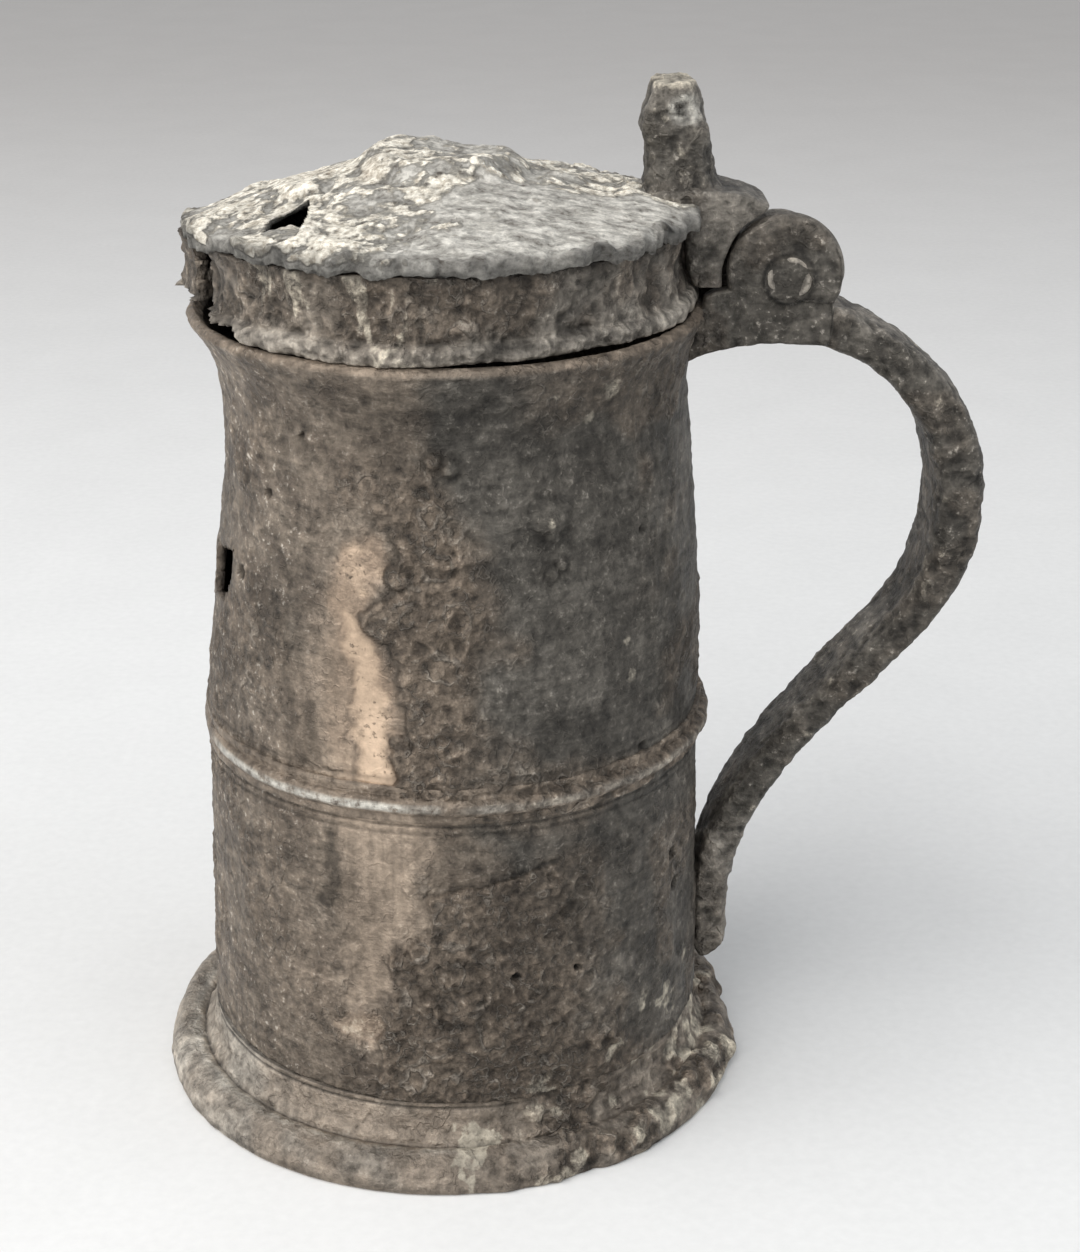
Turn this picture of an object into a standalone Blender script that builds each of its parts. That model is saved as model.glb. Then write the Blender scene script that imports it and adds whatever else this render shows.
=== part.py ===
"""A lidded pewter tankard with a spread foot, a waist band and a swan-neck handle.

Metres, +Z up. The tankard stands on Z = 0 with its handle towards +X, and the origin is under
the middle of its outline. Pieces are drawn from the drum's axis and carried by two empties: one
on the drum's axis, and one on the hinge pin for everything that lifts with the lid.
"""

import math

import bmesh
import bpy
from mathutils import Vector

# Clearances: a soldered seat, a moving face, and the pin in its bores
SEAT_GAP = 0.0003
RUN_GAP = 0.0005
PIN_GAP = 0.0001

# Drum, in two castings that meet under the waist band
RIM_HEIGHT = 0.165
WAIST_HEIGHT = 0.080
NECK_RADIUS = 0.0458
LIP_SPREAD = 0.0042
WAIST_RADIUS = 0.0500
BASE_RADIUS = 0.0510
DRUM_WALL = 0.0020
LIP_THICKNESS = 0.0032
LIP_FLARE_HEIGHT = 0.0150
TAPER_SWELL = 1.35

# Waist band
BAND_HEIGHT = 0.0072
BAND_PROUD = 0.0023
BAND_EDGE = 0.0006

# Foot ring and the floor soldered into it
FOOT_HEIGHT = 0.0155
FOOT_EDGE = 0.0026
FOOT_LAND = 0.0036
FOOT_HOLLOW = 0.75
NECK_SPREAD = 0.0025
SKIRT_SPREAD = 0.0073
SKIRT_HEIGHT = 0.0080
SKIRT_STEP = 0.0008
SKIRT_SWELL = (0.55, 0.46)
SHELF_WIDTH = 0.0034
SHELF_HEIGHT = 0.0096
SHELF_THICKNESS = 0.0024
FLOOR_THICKNESS = 0.0020
FLOOR_RISE = 0.0015

# Lid: an upright wall under a domed plate with a boss
LID_GAP = 0.0004
LID_WALL_HEIGHT = 0.0157
LID_INSET = 0.0024
LID_WALL_HOLLOW = 0.0010
LID_WALL_THICKNESS = 0.0020
LID_FLANGE_PROUD = 0.0009
LID_FLANGE_HEIGHT = 0.0021
LID_OVERHANG = 0.0017
LID_EDGE = 0.0028
LID_PLATE = 0.0022
DOME_RISE = 0.0064
DOME_SWELL = 1.3
BOSS_RADIUS = 0.0155
BOSS_TOP_RADIUS = 0.0120
BOSS_RISE = 0.0032
BOSS_PLATE = 0.0034

# Hinge: two ears on the handle, one knuckle on the lid, one headed pin
HINGE_OFFSET = 0.0158
HINGE_RISE = 0.0054
HINGE_WIDTH = 0.0176
EAR_RADIUS = 0.0112
EAR_CHAMFER = 0.0008
KNUCKLE_WIDTH = 0.0066
KNUCKLE_RADIUS = 0.0084
KNUCKLE_WEB_RISE = 0.0074
PIN_RADIUS = 0.0029
PIN_HEAD_RADIUS = 0.0044
PIN_HEAD_DEPTH = 0.0011
PIN_HEAD_DOME = 0.0006

# Lever and thumbpiece
LEVER_DROP = 0.0021
LEVER_SHOULDER = 0.0032
TONGUE_THICKNESS = 0.0012
THUMB_INSET = 0.0041
THUMB_LENGTH = 0.0148
THUMB_WIDTH = 0.0150
THUMB_HEIGHT = 0.0188
THUMB_LEAN = 0.0016
THUMB_SQUARENESS = 0.75

# Thumbpiece levels: share of its height, of its lean, of its length and of its width
THUMB_LEVELS = (
    (0.00, 0.00, 1.00, 1.00),
    (0.12, 0.30, 0.90, 0.88),
    (0.34, 0.70, 0.83, 0.80),
    (0.58, 1.00, 0.89, 0.94),
    (0.80, 0.95, 0.78, 0.96),
    (0.95, 0.95, 0.66, 0.82),
    (1.00, 0.95, 0.52, 0.66),
)

# Handle
ARM_DEPTH = 0.0103
HANDLE_REACH = 0.1072
HANDLE_DEPTH = 0.0100
HANDLE_WIDTH = 0.0186
HANDLE_END_HEIGHT = 0.0235
HANDLE_BITE = 0.0008
HANDLE_ROUNDING = 0.8

# Swan-neck path: share of the reach, share of the drop, section scale
HANDLE_START = (0.14, 0.993, 0.80)
HANDLE_SHOULDER = ((0.42, 0.988, 0.82), (0.70, 0.937, 0.82), (0.90, 0.866, 0.90))
HANDLE_CROWN = (1.0, 0.727, 1.0)
HANDLE_TAIL = ((0.87, 0.560, 0.95), (0.555, 0.415, 0.86), (0.245, 0.272, 0.80), (0.075, 0.125, 0.76))
CROWN_TENSION = 0.085

# Torn places: bearing round the drum in degrees (0 at the handle), height or radius, and size
DRUM_TEAR_BEARING = 202.0
DRUM_TEAR_HEIGHT = 0.1135
DRUM_TEAR_WIDTH = 0.0105
DRUM_TEAR_TALL = 0.0110
LID_TEAR_BEARING = 223.0
LID_TEAR_RADIUS = 0.0375
LID_TEAR_SIZE = 0.0062
WALL_TEAR_BEARING = 194.0
WALL_TEAR_WIDTH = 0.0060
WALL_TEAR_RISE = 0.0055
TEAR_DEPTH = 0.0100

# Facets
TURN_STEPS = 56
PIN_STEPS = 32
SECTION_STEPS = 14
PATH_STEPS = 5
THUMB_STEPS = 18

# Places worked out from the sizes above
LIP_RADIUS = NECK_RADIUS + LIP_SPREAD
SKIRT_RADIUS = BASE_RADIUS + NECK_SPREAD
FOOT_RADIUS = SKIRT_RADIUS + SKIRT_SPREAD
AXIS_X = (FOOT_RADIUS - HANDLE_REACH) / 2
LID_WALL_RADIUS = LIP_RADIUS - LID_INSET
LID_WALL_INSIDE = LID_WALL_RADIUS - LID_WALL_HOLLOW - LID_WALL_THICKNESS
LID_RADIUS = LID_WALL_RADIUS + LID_OVERHANG
NECK_HEIGHT = RIM_HEIGHT - LIP_FLARE_HEIGHT
LIP_HEIGHT = RIM_HEIGHT - LIP_THICKNESS / 2
LID_BOTTOM = RIM_HEIGHT + LID_GAP
LID_WALL_TOP = LID_BOTTOM + LID_WALL_HEIGHT
PLATE_BOTTOM = LID_WALL_TOP + SEAT_GAP
PLATE_EDGE_TOP = PLATE_BOTTOM + LID_EDGE
PIN_X = LIP_RADIUS + HINGE_OFFSET
PIN_HEIGHT = RIM_HEIGHT + HINGE_RISE
LEVER_BOTTOM = PIN_HEIGHT - LEVER_DROP
ARM_TOP = LEVER_BOTTOM - RUN_GAP
ARM_BOTTOM = ARM_TOP - ARM_DEPTH
THUMB_X = LID_RADIUS - THUMB_INSET
CUTTER_MARGIN = 0.02


def lerp(start, end, share):
    return start + (end - start) * share


def drum_radius(height):
    """Outside radius of the drum: a slow taper below the waist, a swelling one above, then the lip."""
    if height <= WAIST_HEIGHT:
        share = (height - FOOT_HEIGHT) / (WAIST_HEIGHT - FOOT_HEIGHT)
        return lerp(BASE_RADIUS, WAIST_RADIUS, share)
    share = min(1.0, (height - WAIST_HEIGHT) / (NECK_HEIGHT - WAIST_HEIGHT))
    taper = lerp(WAIST_RADIUS, NECK_RADIUS, share**TAPER_SWELL)
    return taper + (LIP_RADIUS - NECK_RADIUS) * lip_share(height) ** 2


def lip_share(height):
    """How far up the flare a height lies: 0 at the neck, 1 at the middle of the rounded lip."""
    share = (height - NECK_HEIGHT) / (LIP_HEIGHT - NECK_HEIGHT)
    return min(1.0, max(0.0, share))


def lid_surface(radius):
    """Height of the lid's domed top at a radius outside the boss."""
    share = (radius - BOSS_RADIUS) / (LID_RADIUS - BOSS_RADIUS)
    return PLATE_EDGE_TOP + DOME_RISE * (1.0 - max(0.0, share) ** DOME_SWELL)


def arc(centre, radii, start, end, steps):
    """Points (radius, height) along an ellipse, from one angle in degrees to another."""
    points = []
    for step in range(steps + 1):
        angle = math.radians(lerp(start, end, step / steps))
        points.append((centre[0] + radii[0] * math.cos(angle), centre[1] + radii[1] * math.sin(angle)))
    return points


def spread(start, end, steps):
    return [lerp(start, end, step / steps) for step in range(steps + 1)]


def new_group(name):
    group = bpy.data.collections.new(name)
    bpy.context.scene.collection.children.link(group)
    return group


def new_object(name, mesh, group):
    obj = bpy.data.objects.new(name, mesh)
    group.objects.link(obj)
    if group is HELPERS:
        obj.hide_render = True
        obj.display_type = "WIRE"
    return obj


def new_carrier(name, place, parent=None):
    """An empty that carries pieces."""
    carrier = bpy.data.objects.new(name, None)
    PIECES.objects.link(carrier)
    carrier.location = place
    carrier.parent = parent
    return carrier


def carry(obj, carrier):
    """Parents a piece drawn from the drum's axis to its carrier without moving it."""
    obj.parent = carrier
    if carrier is HINGE_AXIS:
        obj.location = obj.location - HINGE_AXIS.location
    return obj


def finish(obj, colour, roughness, metallic):
    """Gives a piece its own material, with smooth shading across its gentle edges."""
    look = bpy.data.materials.new(obj.name)
    look.use_nodes = True
    shader = look.node_tree.nodes["Principled BSDF"]
    shader.inputs["Base Color"].default_value = (*colour, 1.0)
    shader.inputs["Roughness"].default_value = roughness
    shader.inputs["Metallic"].default_value = metallic
    obj.data.materials.append(look)
    obj.data.shade_smooth()
    if obj.data.polygons:
        obj.data.set_sharp_from_angle(angle=math.radians(35))
    return obj


def turned(name, profile, group, closed=True, steps=TURN_STEPS):
    """A profile of (radius, height) points, down its outer side, spun round Z."""
    edges = [(i, i + 1) for i in range(len(profile) - 1)]
    if closed:
        edges.append((len(profile) - 1, 0))
    mesh = bpy.data.meshes.new(name)
    mesh.from_pydata([(radius, 0.0, height) for radius, height in profile], edges, [])
    obj = new_object(name, mesh, group)
    turn = obj.modifiers.new("Turn", "SCREW")
    turn.axis = "Z"
    turn.steps = steps
    turn.render_steps = steps
    turn.use_smooth_shade = True
    turn.use_merge_vertices = True
    turn.merge_threshold = 0.00001
    return obj


def rod(name, radius, length, steps, group):
    """A cylinder along Y on the hinge axis."""
    mesh = bpy.data.meshes.new(name)
    shape = bmesh.new()
    bmesh.ops.create_cone(
        shape, cap_ends=True, segments=steps, radius1=radius, radius2=radius, depth=length
    )
    shape.to_mesh(mesh)
    shape.free()
    obj = new_object(name, mesh, group)
    obj.rotation_euler = (math.pi / 2, 0.0, 0.0)
    obj.location = (PIN_X, 0.0, PIN_HEIGHT)
    return obj


def block(name, low, high, group):
    """A box between two corners."""
    mesh = bpy.data.meshes.new(name)
    shape = bmesh.new()
    bmesh.ops.create_cube(shape, size=1.0)
    bmesh.ops.scale(shape, vec=Vector(high) - Vector(low), verts=shape.verts)
    shape.to_mesh(mesh)
    shape.free()
    obj = new_object(name, mesh, group)
    obj.location = (Vector(low) + Vector(high)) / 2
    return obj


def meshed(curve_object, name, group):
    """The mesh of a curve with its caps welded on, in place of the curve."""
    graph = bpy.context.evaluated_depsgraph_get()
    mesh = bpy.data.meshes.new_from_object(curve_object.evaluated_get(graph))
    mesh.name = name
    shape = bmesh.new()
    shape.from_mesh(mesh)
    bmesh.ops.remove_doubles(shape, verts=shape.verts, dist=0.00001)
    bmesh.ops.recalc_face_normals(shape, faces=shape.faces)
    shape.to_mesh(mesh)
    shape.free()
    obj = new_object(name, mesh, group)
    obj.matrix_world = curve_object.matrix_world
    bpy.data.objects.remove(curve_object)
    return obj


def plate(name, outline, width, group):
    """A closed outline of (x, height) points with a width along Y."""
    curve = bpy.data.curves.new(name, "CURVE")
    curve.dimensions = "2D"
    curve.fill_mode = "BOTH"
    curve.extrude = width / 2
    spline = curve.splines.new("POLY")
    spline.points.add(len(outline) - 1)
    for point, (x, height) in zip(spline.points, outline):
        point.co = (x, height, 0.0, 1.0)
    spline.use_cyclic_u = True
    upright = new_object(name + "_outline", curve, HELPERS)
    upright.rotation_euler = (math.pi / 2, 0.0, 0.0)
    bpy.context.view_layer.update()
    return meshed(upright, name, group)


def combine(obj, other, operation):
    step = obj.modifiers.new(operation.title() + " " + other.name, "BOOLEAN")
    step.operation = operation
    step.object = other
    return obj


def chamfer(obj):
    """Takes the sharp corners off a casting."""
    bevel = obj.modifiers.new("Chamfer", "BEVEL")
    bevel.width = EAR_CHAMFER
    bevel.segments = 1
    bevel.limit_method = "ANGLE"
    return obj


def bearing(degrees, radius, height):
    """A place on the drum by its bearing from the handle."""
    angle = math.radians(degrees)
    return (radius * math.cos(angle), radius * math.sin(angle), height)


def tear(name, place, sides, size, turn):
    """A ragged hole's cutter: a squat prism, its length along its own Z."""
    mesh = bpy.data.meshes.new(name)
    shape = bmesh.new()
    bmesh.ops.create_cone(shape, cap_ends=True, segments=sides, radius1=0.5, radius2=0.5, depth=1.0)
    bmesh.ops.scale(shape, vec=(size[0], size[1], TEAR_DEPTH), verts=shape.verts)
    shape.to_mesh(mesh)
    shape.free()
    obj = new_object(name, mesh, HELPERS)
    obj.location = place
    obj.rotation_euler = turn
    return obj


def make_foot_ring():
    """Collar, hollowed neck and sloping skirt; a land to stand on and a shelf for the floor inside."""
    collar_inside = BASE_RADIUS - DRUM_WALL
    neck_sweep = (BASE_RADIUS - SKIRT_RADIUS, SKIRT_HEIGHT - FOOT_HEIGHT)
    neck = arc((SKIRT_RADIUS, FOOT_HEIGHT), neck_sweep, 0, 90, 4)
    brow = (SKIRT_RADIUS + SKIRT_STEP, SKIRT_HEIGHT - SKIRT_STEP / 2)
    swell = (lerp(brow[0], FOOT_RADIUS, SKIRT_SWELL[0]), lerp(brow[1], FOOT_EDGE, SKIRT_SWELL[1]))
    edge = arc((FOOT_RADIUS - FOOT_EDGE / 2, FOOT_EDGE / 2), (FOOT_EDGE / 2, FOOT_EDGE / 2), 70, -90, 5)
    land_inside = FOOT_RADIUS - FOOT_EDGE / 2 - FOOT_LAND
    shelf_inside = collar_inside - SHELF_WIDTH
    shelf_under = SHELF_HEIGHT - SHELF_THICKNESS
    inside = [
        (land_inside, 0.0),
        (lerp(land_inside, collar_inside, FOOT_HOLLOW), shelf_under * FOOT_HOLLOW),
        (collar_inside - SHELF_THICKNESS / 2, shelf_under),
        (shelf_inside, shelf_under),
        (shelf_inside, SHELF_HEIGHT),
        (collar_inside, SHELF_HEIGHT),
        (collar_inside, FOOT_HEIGHT),
    ]
    foot = turned("foot_ring", neck + [brow, swell] + edge + inside, PIECES)
    finish(foot, (0.190, 0.165, 0.140), 0.66, 0.55)
    return carry(foot, DRUM_AXIS)


def make_floor_disc():
    """The vessel's bottom: a plate on the foot's shelf, dished up in the middle."""
    radius = BASE_RADIUS - DRUM_WALL - SEAT_GAP
    under = SHELF_HEIGHT + SEAT_GAP
    dish = radius - SHELF_WIDTH
    radii = spread(0.0, dish, 4)
    rise = [FLOOR_RISE * math.cos(math.pi / 2 * r / dish) for r in radii]
    top = [(r, under + FLOOR_THICKNESS + up) for r, up in zip(radii, rise)]
    bottom = [(r, under + up) for r, up in zip(radii, rise)]
    rim = [(radius, under + FLOOR_THICKNESS), (radius, under)]
    floor = turned("floor_disc", top + rim + bottom[::-1], PIECES, closed=False)
    finish(floor, (0.110, 0.100, 0.090), 0.72, 0.50)
    return carry(floor, DRUM_AXIS)


def make_lower_drum():
    """The straight lower half of the drum, from the foot's collar to the waist."""
    bottom = FOOT_HEIGHT + SEAT_GAP
    top = WAIST_HEIGHT - SEAT_GAP / 2
    outside = [(drum_radius(height), height) for height in (top, bottom)]
    inside = [(radius - DRUM_WALL, height) for radius, height in reversed(outside)]
    drum = turned("lower_drum", outside + inside, PIECES)
    finish(drum, (0.150, 0.128, 0.108), 0.58, 0.60)
    return carry(drum, DRUM_AXIS)


def make_upper_drum():
    """The upper half of the drum: it swells in to the neck and turns out to a rounded lip."""
    bottom = WAIST_HEIGHT + SEAT_GAP / 2
    bead = LIP_THICKNESS / 2
    flare = spread(LIP_HEIGHT, NECK_HEIGHT, 4)[1:]
    taper = spread(NECK_HEIGHT, bottom, 4)[1:]
    lip = arc((LIP_RADIUS - bead, LIP_HEIGHT), (bead, bead), 180, 0, 6)
    outside = [(drum_radius(height), height) for height in flare + taper]
    inside = []
    for radius, height in reversed(outside):
        inside.append((radius - lerp(DRUM_WALL, LIP_THICKNESS, lip_share(height)), height))
    drum = turned("upper_drum", lip + outside + inside, PIECES)
    finish(drum, (0.130, 0.112, 0.095), 0.60, 0.60)
    hole = tear(
        "drum_tear",
        bearing(DRUM_TEAR_BEARING, drum_radius(DRUM_TEAR_HEIGHT), DRUM_TEAR_HEIGHT),
        5,
        (DRUM_TEAR_TALL, DRUM_TEAR_WIDTH),
        (0.0, math.pi / 2, math.radians(DRUM_TEAR_BEARING)),
    )
    combine(drum, carry(hole, DRUM_AXIS), "DIFFERENCE")
    return carry(drum, DRUM_AXIS)


def make_waist_band():
    """The raised hoop that hides the joint of the drum: a rounded ridge between two flat fillets."""
    half = BAND_HEIGHT / 2
    seat = [(drum_radius(WAIST_HEIGHT + rise) + SEAT_GAP, WAIST_HEIGHT + rise) for rise in (-half, 0.0, half)]
    ridge = arc((seat[1][0] + BAND_EDGE, WAIST_HEIGHT), (BAND_PROUD - BAND_EDGE, half / 2), 90, -90, 4)
    fillet_top = (seat[2][0] + BAND_EDGE, seat[2][1])
    fillet_bottom = (seat[0][0] + BAND_EDGE, seat[0][1])
    band = turned("waist_band", [fillet_top] + ridge + [fillet_bottom] + seat, PIECES)
    finish(band, (0.235, 0.215, 0.195), 0.50, 0.65)
    return carry(band, DRUM_AXIS)


def make_lid_wall():
    """The lid's upright wall, hollowed on its face, with a flange that rests on the lip."""
    flange_top = LID_BOTTOM + LID_FLANGE_HEIGHT
    face_heights = spread(LID_WALL_TOP, flange_top, 4)
    face = []
    for height in face_heights:
        share = (height - flange_top) / (LID_WALL_TOP - flange_top)
        face.append((LID_WALL_RADIUS - LID_WALL_HOLLOW * math.sin(math.pi * share), height))
    lip = LID_WALL_RADIUS + LID_FLANGE_PROUD
    flange = [(lip, flange_top - LID_FLANGE_HEIGHT / 3), (lip, LID_BOTTOM)]
    inside = [(LID_WALL_INSIDE, LID_BOTTOM), (LID_WALL_INSIDE, LID_WALL_TOP)]
    wall = turned("lid_wall", face + flange + inside, PIECES)
    finish(wall, (0.150, 0.125, 0.100), 0.66, 0.50)
    gap = tear(
        "wall_tear",
        bearing(WALL_TEAR_BEARING, LID_WALL_RADIUS, LID_BOTTOM + WALL_TEAR_RISE),
        6,
        (LID_WALL_HEIGHT, WALL_TEAR_WIDTH),
        (0.0, math.pi / 2, math.radians(WALL_TEAR_BEARING)),
    )
    combine(wall, carry(gap, HINGE_AXIS), "DIFFERENCE")
    return carry(wall, HINGE_AXIS)


def lid_top_outline(grow=0.0):
    """The lid plate's upper side from its middle to its edge, grown by a clearance."""
    boss_root = lid_surface(BOSS_RADIUS)
    shoulder = (BOSS_RADIUS - BOSS_TOP_RADIUS, BOSS_RISE)
    boss = [(0.0, boss_root + BOSS_RISE)] + arc((BOSS_TOP_RADIUS, boss_root), shoulder, 90, 0, 3)
    dome_end = LID_RADIUS - LID_EDGE / 2
    dome = [(radius, lid_surface(radius)) for radius in spread(BOSS_RADIUS, dome_end, 4)[1:]]
    middle = lid_surface(LID_RADIUS) - LID_EDGE / 2
    edge = arc((LID_RADIUS - LID_EDGE / 2, middle), (LID_EDGE / 2, LID_EDGE / 2), 50, -90, 4)
    grown = [(radius, height + grow) for radius, height in boss + dome]
    return grown + [(radius + grow, height) for radius, height in edge]


def make_lid_top():
    """The domed plate with its boss, rebated underneath to sit on the wall."""
    outside = lid_top_outline()
    seat_inside = LID_WALL_INSIDE - SEAT_GAP
    under = [(seat_inside, PLATE_BOTTOM)]
    under += [(radius, lid_surface(radius) - LID_PLATE) for radius in spread(seat_inside, BOSS_RADIUS, 3)]
    under += [(radius, outside[0][1] - BOSS_PLATE) for radius in (BOSS_TOP_RADIUS, 0.0)]
    top = turned("lid_top", outside + under, PIECES, closed=False)
    finish(top, (0.430, 0.415, 0.380), 0.80, 0.15)
    hole = tear(
        "lid_tear",
        bearing(LID_TEAR_BEARING, LID_TEAR_RADIUS, lid_surface(LID_TEAR_RADIUS)),
        3,
        (LID_TEAR_SIZE * 2, LID_TEAR_SIZE * 2),
        (0.0, 0.0, math.radians(LID_TEAR_BEARING)),
    )
    combine(top, carry(hole, HINGE_AXIS), "DIFFERENCE")
    return carry(top, HINGE_AXIS)


def lid_cutter():
    """The lid's whole outside grown by a seat gap, to fit the lever to it."""
    crown = lid_top_outline(SEAT_GAP)
    waist = LID_WALL_RADIUS + SEAT_GAP
    seat = PLATE_BOTTOM - SEAT_GAP
    low = LID_BOTTOM - CUTTER_MARGIN
    shank = [(waist, seat), (waist, low), (0.0, low)]
    rim = (crown[-1][0], seat)
    return carry(turned("lid_cutter", crown + [rim] + shank, HELPERS, closed=False), HINGE_AXIS)


def tongue_top():
    """Height of the flat that carries the thumbpiece."""
    return lid_surface(THUMB_X - THUMB_LENGTH / 2) + SEAT_GAP + TONGUE_THICKNESS


def make_lid_lever():
    """The lever that lifts the lid: a tongue on the plate, a block against the wall, and the knuckle."""
    hollow = EAR_RADIUS + RUN_GAP
    lowest = -math.degrees(math.asin(LEVER_DROP / hollow))
    bite = arc((PIN_X, PIN_HEIGHT), (hollow, hollow), 100, 180 - lowest, 8)
    shoulder = (bite[0][0] - LEVER_SHOULDER / 2, bite[0][1] + LEVER_SHOULDER)
    back = THUMB_X + THUMB_LENGTH / 2
    front = THUMB_X - THUMB_LENGTH / 2
    inside = LID_WALL_RADIUS - LID_WALL_THICKNESS
    outline = [
        (back, tongue_top()),
        shoulder,
        *bite,
        (inside, LEVER_BOTTOM),
        (inside, PLATE_BOTTOM),
        (front, PLATE_BOTTOM),
        (front, tongue_top()),
    ]
    lever = plate("lid_lever", outline, HINGE_WIDTH, PIECES)
    finish(lever, (0.120, 0.105, 0.092), 0.66, 0.50)
    knuckle = rod("knuckle", KNUCKLE_RADIUS, KNUCKLE_WIDTH, PIN_STEPS, HELPERS)
    web = block(
        "knuckle_web",
        (LID_RADIUS + SEAT_GAP * 2, -KNUCKLE_WIDTH / 2, LEVER_BOTTOM),
        (PIN_X, KNUCKLE_WIDTH / 2, PIN_HEIGHT + KNUCKLE_WEB_RISE),
        HELPERS,
    )
    bore = rod("knuckle_bore", PIN_RADIUS + PIN_GAP, HINGE_WIDTH, PIN_STEPS, HELPERS)
    for helper, operation in ((web, "UNION"), (knuckle, "UNION"), (bore, "DIFFERENCE")):
        combine(lever, carry(helper, HINGE_AXIS), operation)
    combine(lever, lid_cutter(), "DIFFERENCE")
    return carry(lever, HINGE_AXIS)


def thumb_ring(shape, share, lean, length, width):
    """One level of the thumbpiece: a rounded rectangle whose sides swell."""
    height = tongue_top() + SEAT_GAP + THUMB_HEIGHT * share
    ring = []
    for step in range(THUMB_STEPS):
        angle = math.tau * step / THUMB_STEPS
        across = math.copysign(abs(math.cos(angle)) ** THUMB_SQUARENESS, math.cos(angle))
        along = math.copysign(abs(math.sin(angle)) ** THUMB_SQUARENESS, math.sin(angle))
        x = THUMB_X - THUMB_LEAN * lean + THUMB_LENGTH / 2 * length * across
        ring.append(shape.verts.new((x, THUMB_WIDTH / 2 * width * along, height)))
    return ring


def make_thumbpiece():
    """A leaning post lofted through unlike levels: broad at its foot, waisted, full at its head."""
    shape = bmesh.new()
    rings = [thumb_ring(shape, *level) for level in THUMB_LEVELS]
    for lower, upper in zip(rings, rings[1:]):
        for step in range(THUMB_STEPS):
            after = (step + 1) % THUMB_STEPS
            shape.faces.new((lower[step], lower[after], upper[after], upper[step]))
    shape.faces.new(rings[0][::-1])
    shape.faces.new(rings[-1])
    mesh = bpy.data.meshes.new("thumbpiece")
    shape.to_mesh(mesh)
    shape.free()
    thumb = new_object("thumbpiece", mesh, PIECES)
    finish(thumb, (0.160, 0.148, 0.130), 0.62, 0.50)
    return carry(thumb, HINGE_AXIS)


def make_hinge_pin():
    """The rivet that carries the lid: a shank with a low head sunk in each ear."""
    half = HINGE_WIDTH / 2
    neck = half - PIN_HEAD_DEPTH
    dome = arc((0.0, half - PIN_HEAD_DOME), (PIN_HEAD_RADIUS, PIN_HEAD_DOME), 90, 0, 3)
    profile = dome + [(PIN_HEAD_RADIUS, neck), (PIN_RADIUS, neck)]
    mirrored = [(radius, -height) for radius, height in reversed(profile)]
    pin = turned("hinge_pin", profile + mirrored, PIECES, closed=False, steps=PIN_STEPS)
    pin.rotation_euler = (math.pi / 2, 0.0, 0.0)
    pin.location = (PIN_X, 0.0, PIN_HEIGHT)
    finish(pin, (0.200, 0.185, 0.165), 0.60, 0.55)
    return carry(pin, DRUM_AXIS)


def handle_section():
    """Half of a flat-sided oval: flat towards the drum, rounded behind."""
    flat = -HANDLE_DEPTH / 2
    half = HANDLE_WIDTH / 2
    points = []
    for step in range(SECTION_STEPS + 1):
        angle = math.pi * step / SECTION_STEPS - math.pi / 2
        rounded = abs(math.cos(angle)) ** HANDLE_ROUNDING
        points.append((flat + HANDLE_DEPTH * rounded, half * math.sin(angle)))
    return points


def handle_path():
    """Points (x, height, scale) along the handle's middle line, from the hinge to its tail."""
    crown_x = HANDLE_REACH - HANDLE_DEPTH / 2
    top = ARM_BOTTOM + HANDLE_DEPTH / 2
    wall = drum_radius(HANDLE_END_HEIGHT)

    def place(across, up, scale):
        return (lerp(wall, crown_x, across), lerp(HANDLE_END_HEIGHT, top, up), scale)

    tail_scale = HANDLE_TAIL[-1][2]
    tail_x = wall - HANDLE_BITE + HANDLE_DEPTH / 2 * tail_scale
    path = [place(*HANDLE_START)]
    path += [place(*point) for point in HANDLE_SHOULDER]
    path.append(place(*HANDLE_CROWN))
    path += [place(*point) for point in HANDLE_TAIL[:-1]]
    path.append((tail_x, place(*HANDLE_TAIL[-1])[1], tail_scale))
    path.append((tail_x, HANDLE_END_HEIGHT, tail_scale))
    return path


def handle_strap():
    """The flat-sided oval carried along the swan neck."""
    section = bpy.data.curves.new("handle_section", "CURVE")
    section.dimensions = "2D"
    outline = section.splines.new("POLY")
    points = handle_section()
    outline.points.add(len(points) - 1)
    for point, (depth, across) in zip(outline.points, points):
        point.co = (-depth, across, 0.0, 1.0)
    outline.use_cyclic_u = True
    section_object = new_object("handle_section", section, HELPERS)
    curve = bpy.data.curves.new("handle_path", "CURVE")
    curve.dimensions = "2D"
    curve.resolution_u = PATH_STEPS
    curve.bevel_mode = "OBJECT"
    curve.bevel_object = section_object
    curve.use_fill_caps = True
    path = handle_path()
    crown = 1 + len(HANDLE_SHOULDER)
    spline = curve.splines.new("BEZIER")
    spline.bezier_points.add(len(path) - 1)
    for knot, (x, height, scale) in zip(spline.bezier_points, path):
        knot.co = (x, height, 0.0)
        knot.radius = scale
        knot.handle_left_type = "AUTO"
        knot.handle_right_type = "AUTO"
    reach = CROWN_TENSION * (ARM_TOP - HANDLE_END_HEIGHT)
    knot = spline.bezier_points[crown]
    knot.handle_left_type = "ALIGNED"
    knot.handle_right_type = "ALIGNED"
    knot.handle_left = knot.co + Vector((0.0, reach, 0.0))
    knot.handle_right = knot.co - Vector((0.0, reach, 0.0))
    upright = new_object("handle_path", curve, HELPERS)
    upright.rotation_euler = (math.pi / 2, 0.0, 0.0)
    bpy.context.view_layer.update()
    strap = meshed(upright, "handle", PIECES)
    bpy.data.objects.remove(section_object)
    return strap


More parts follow.
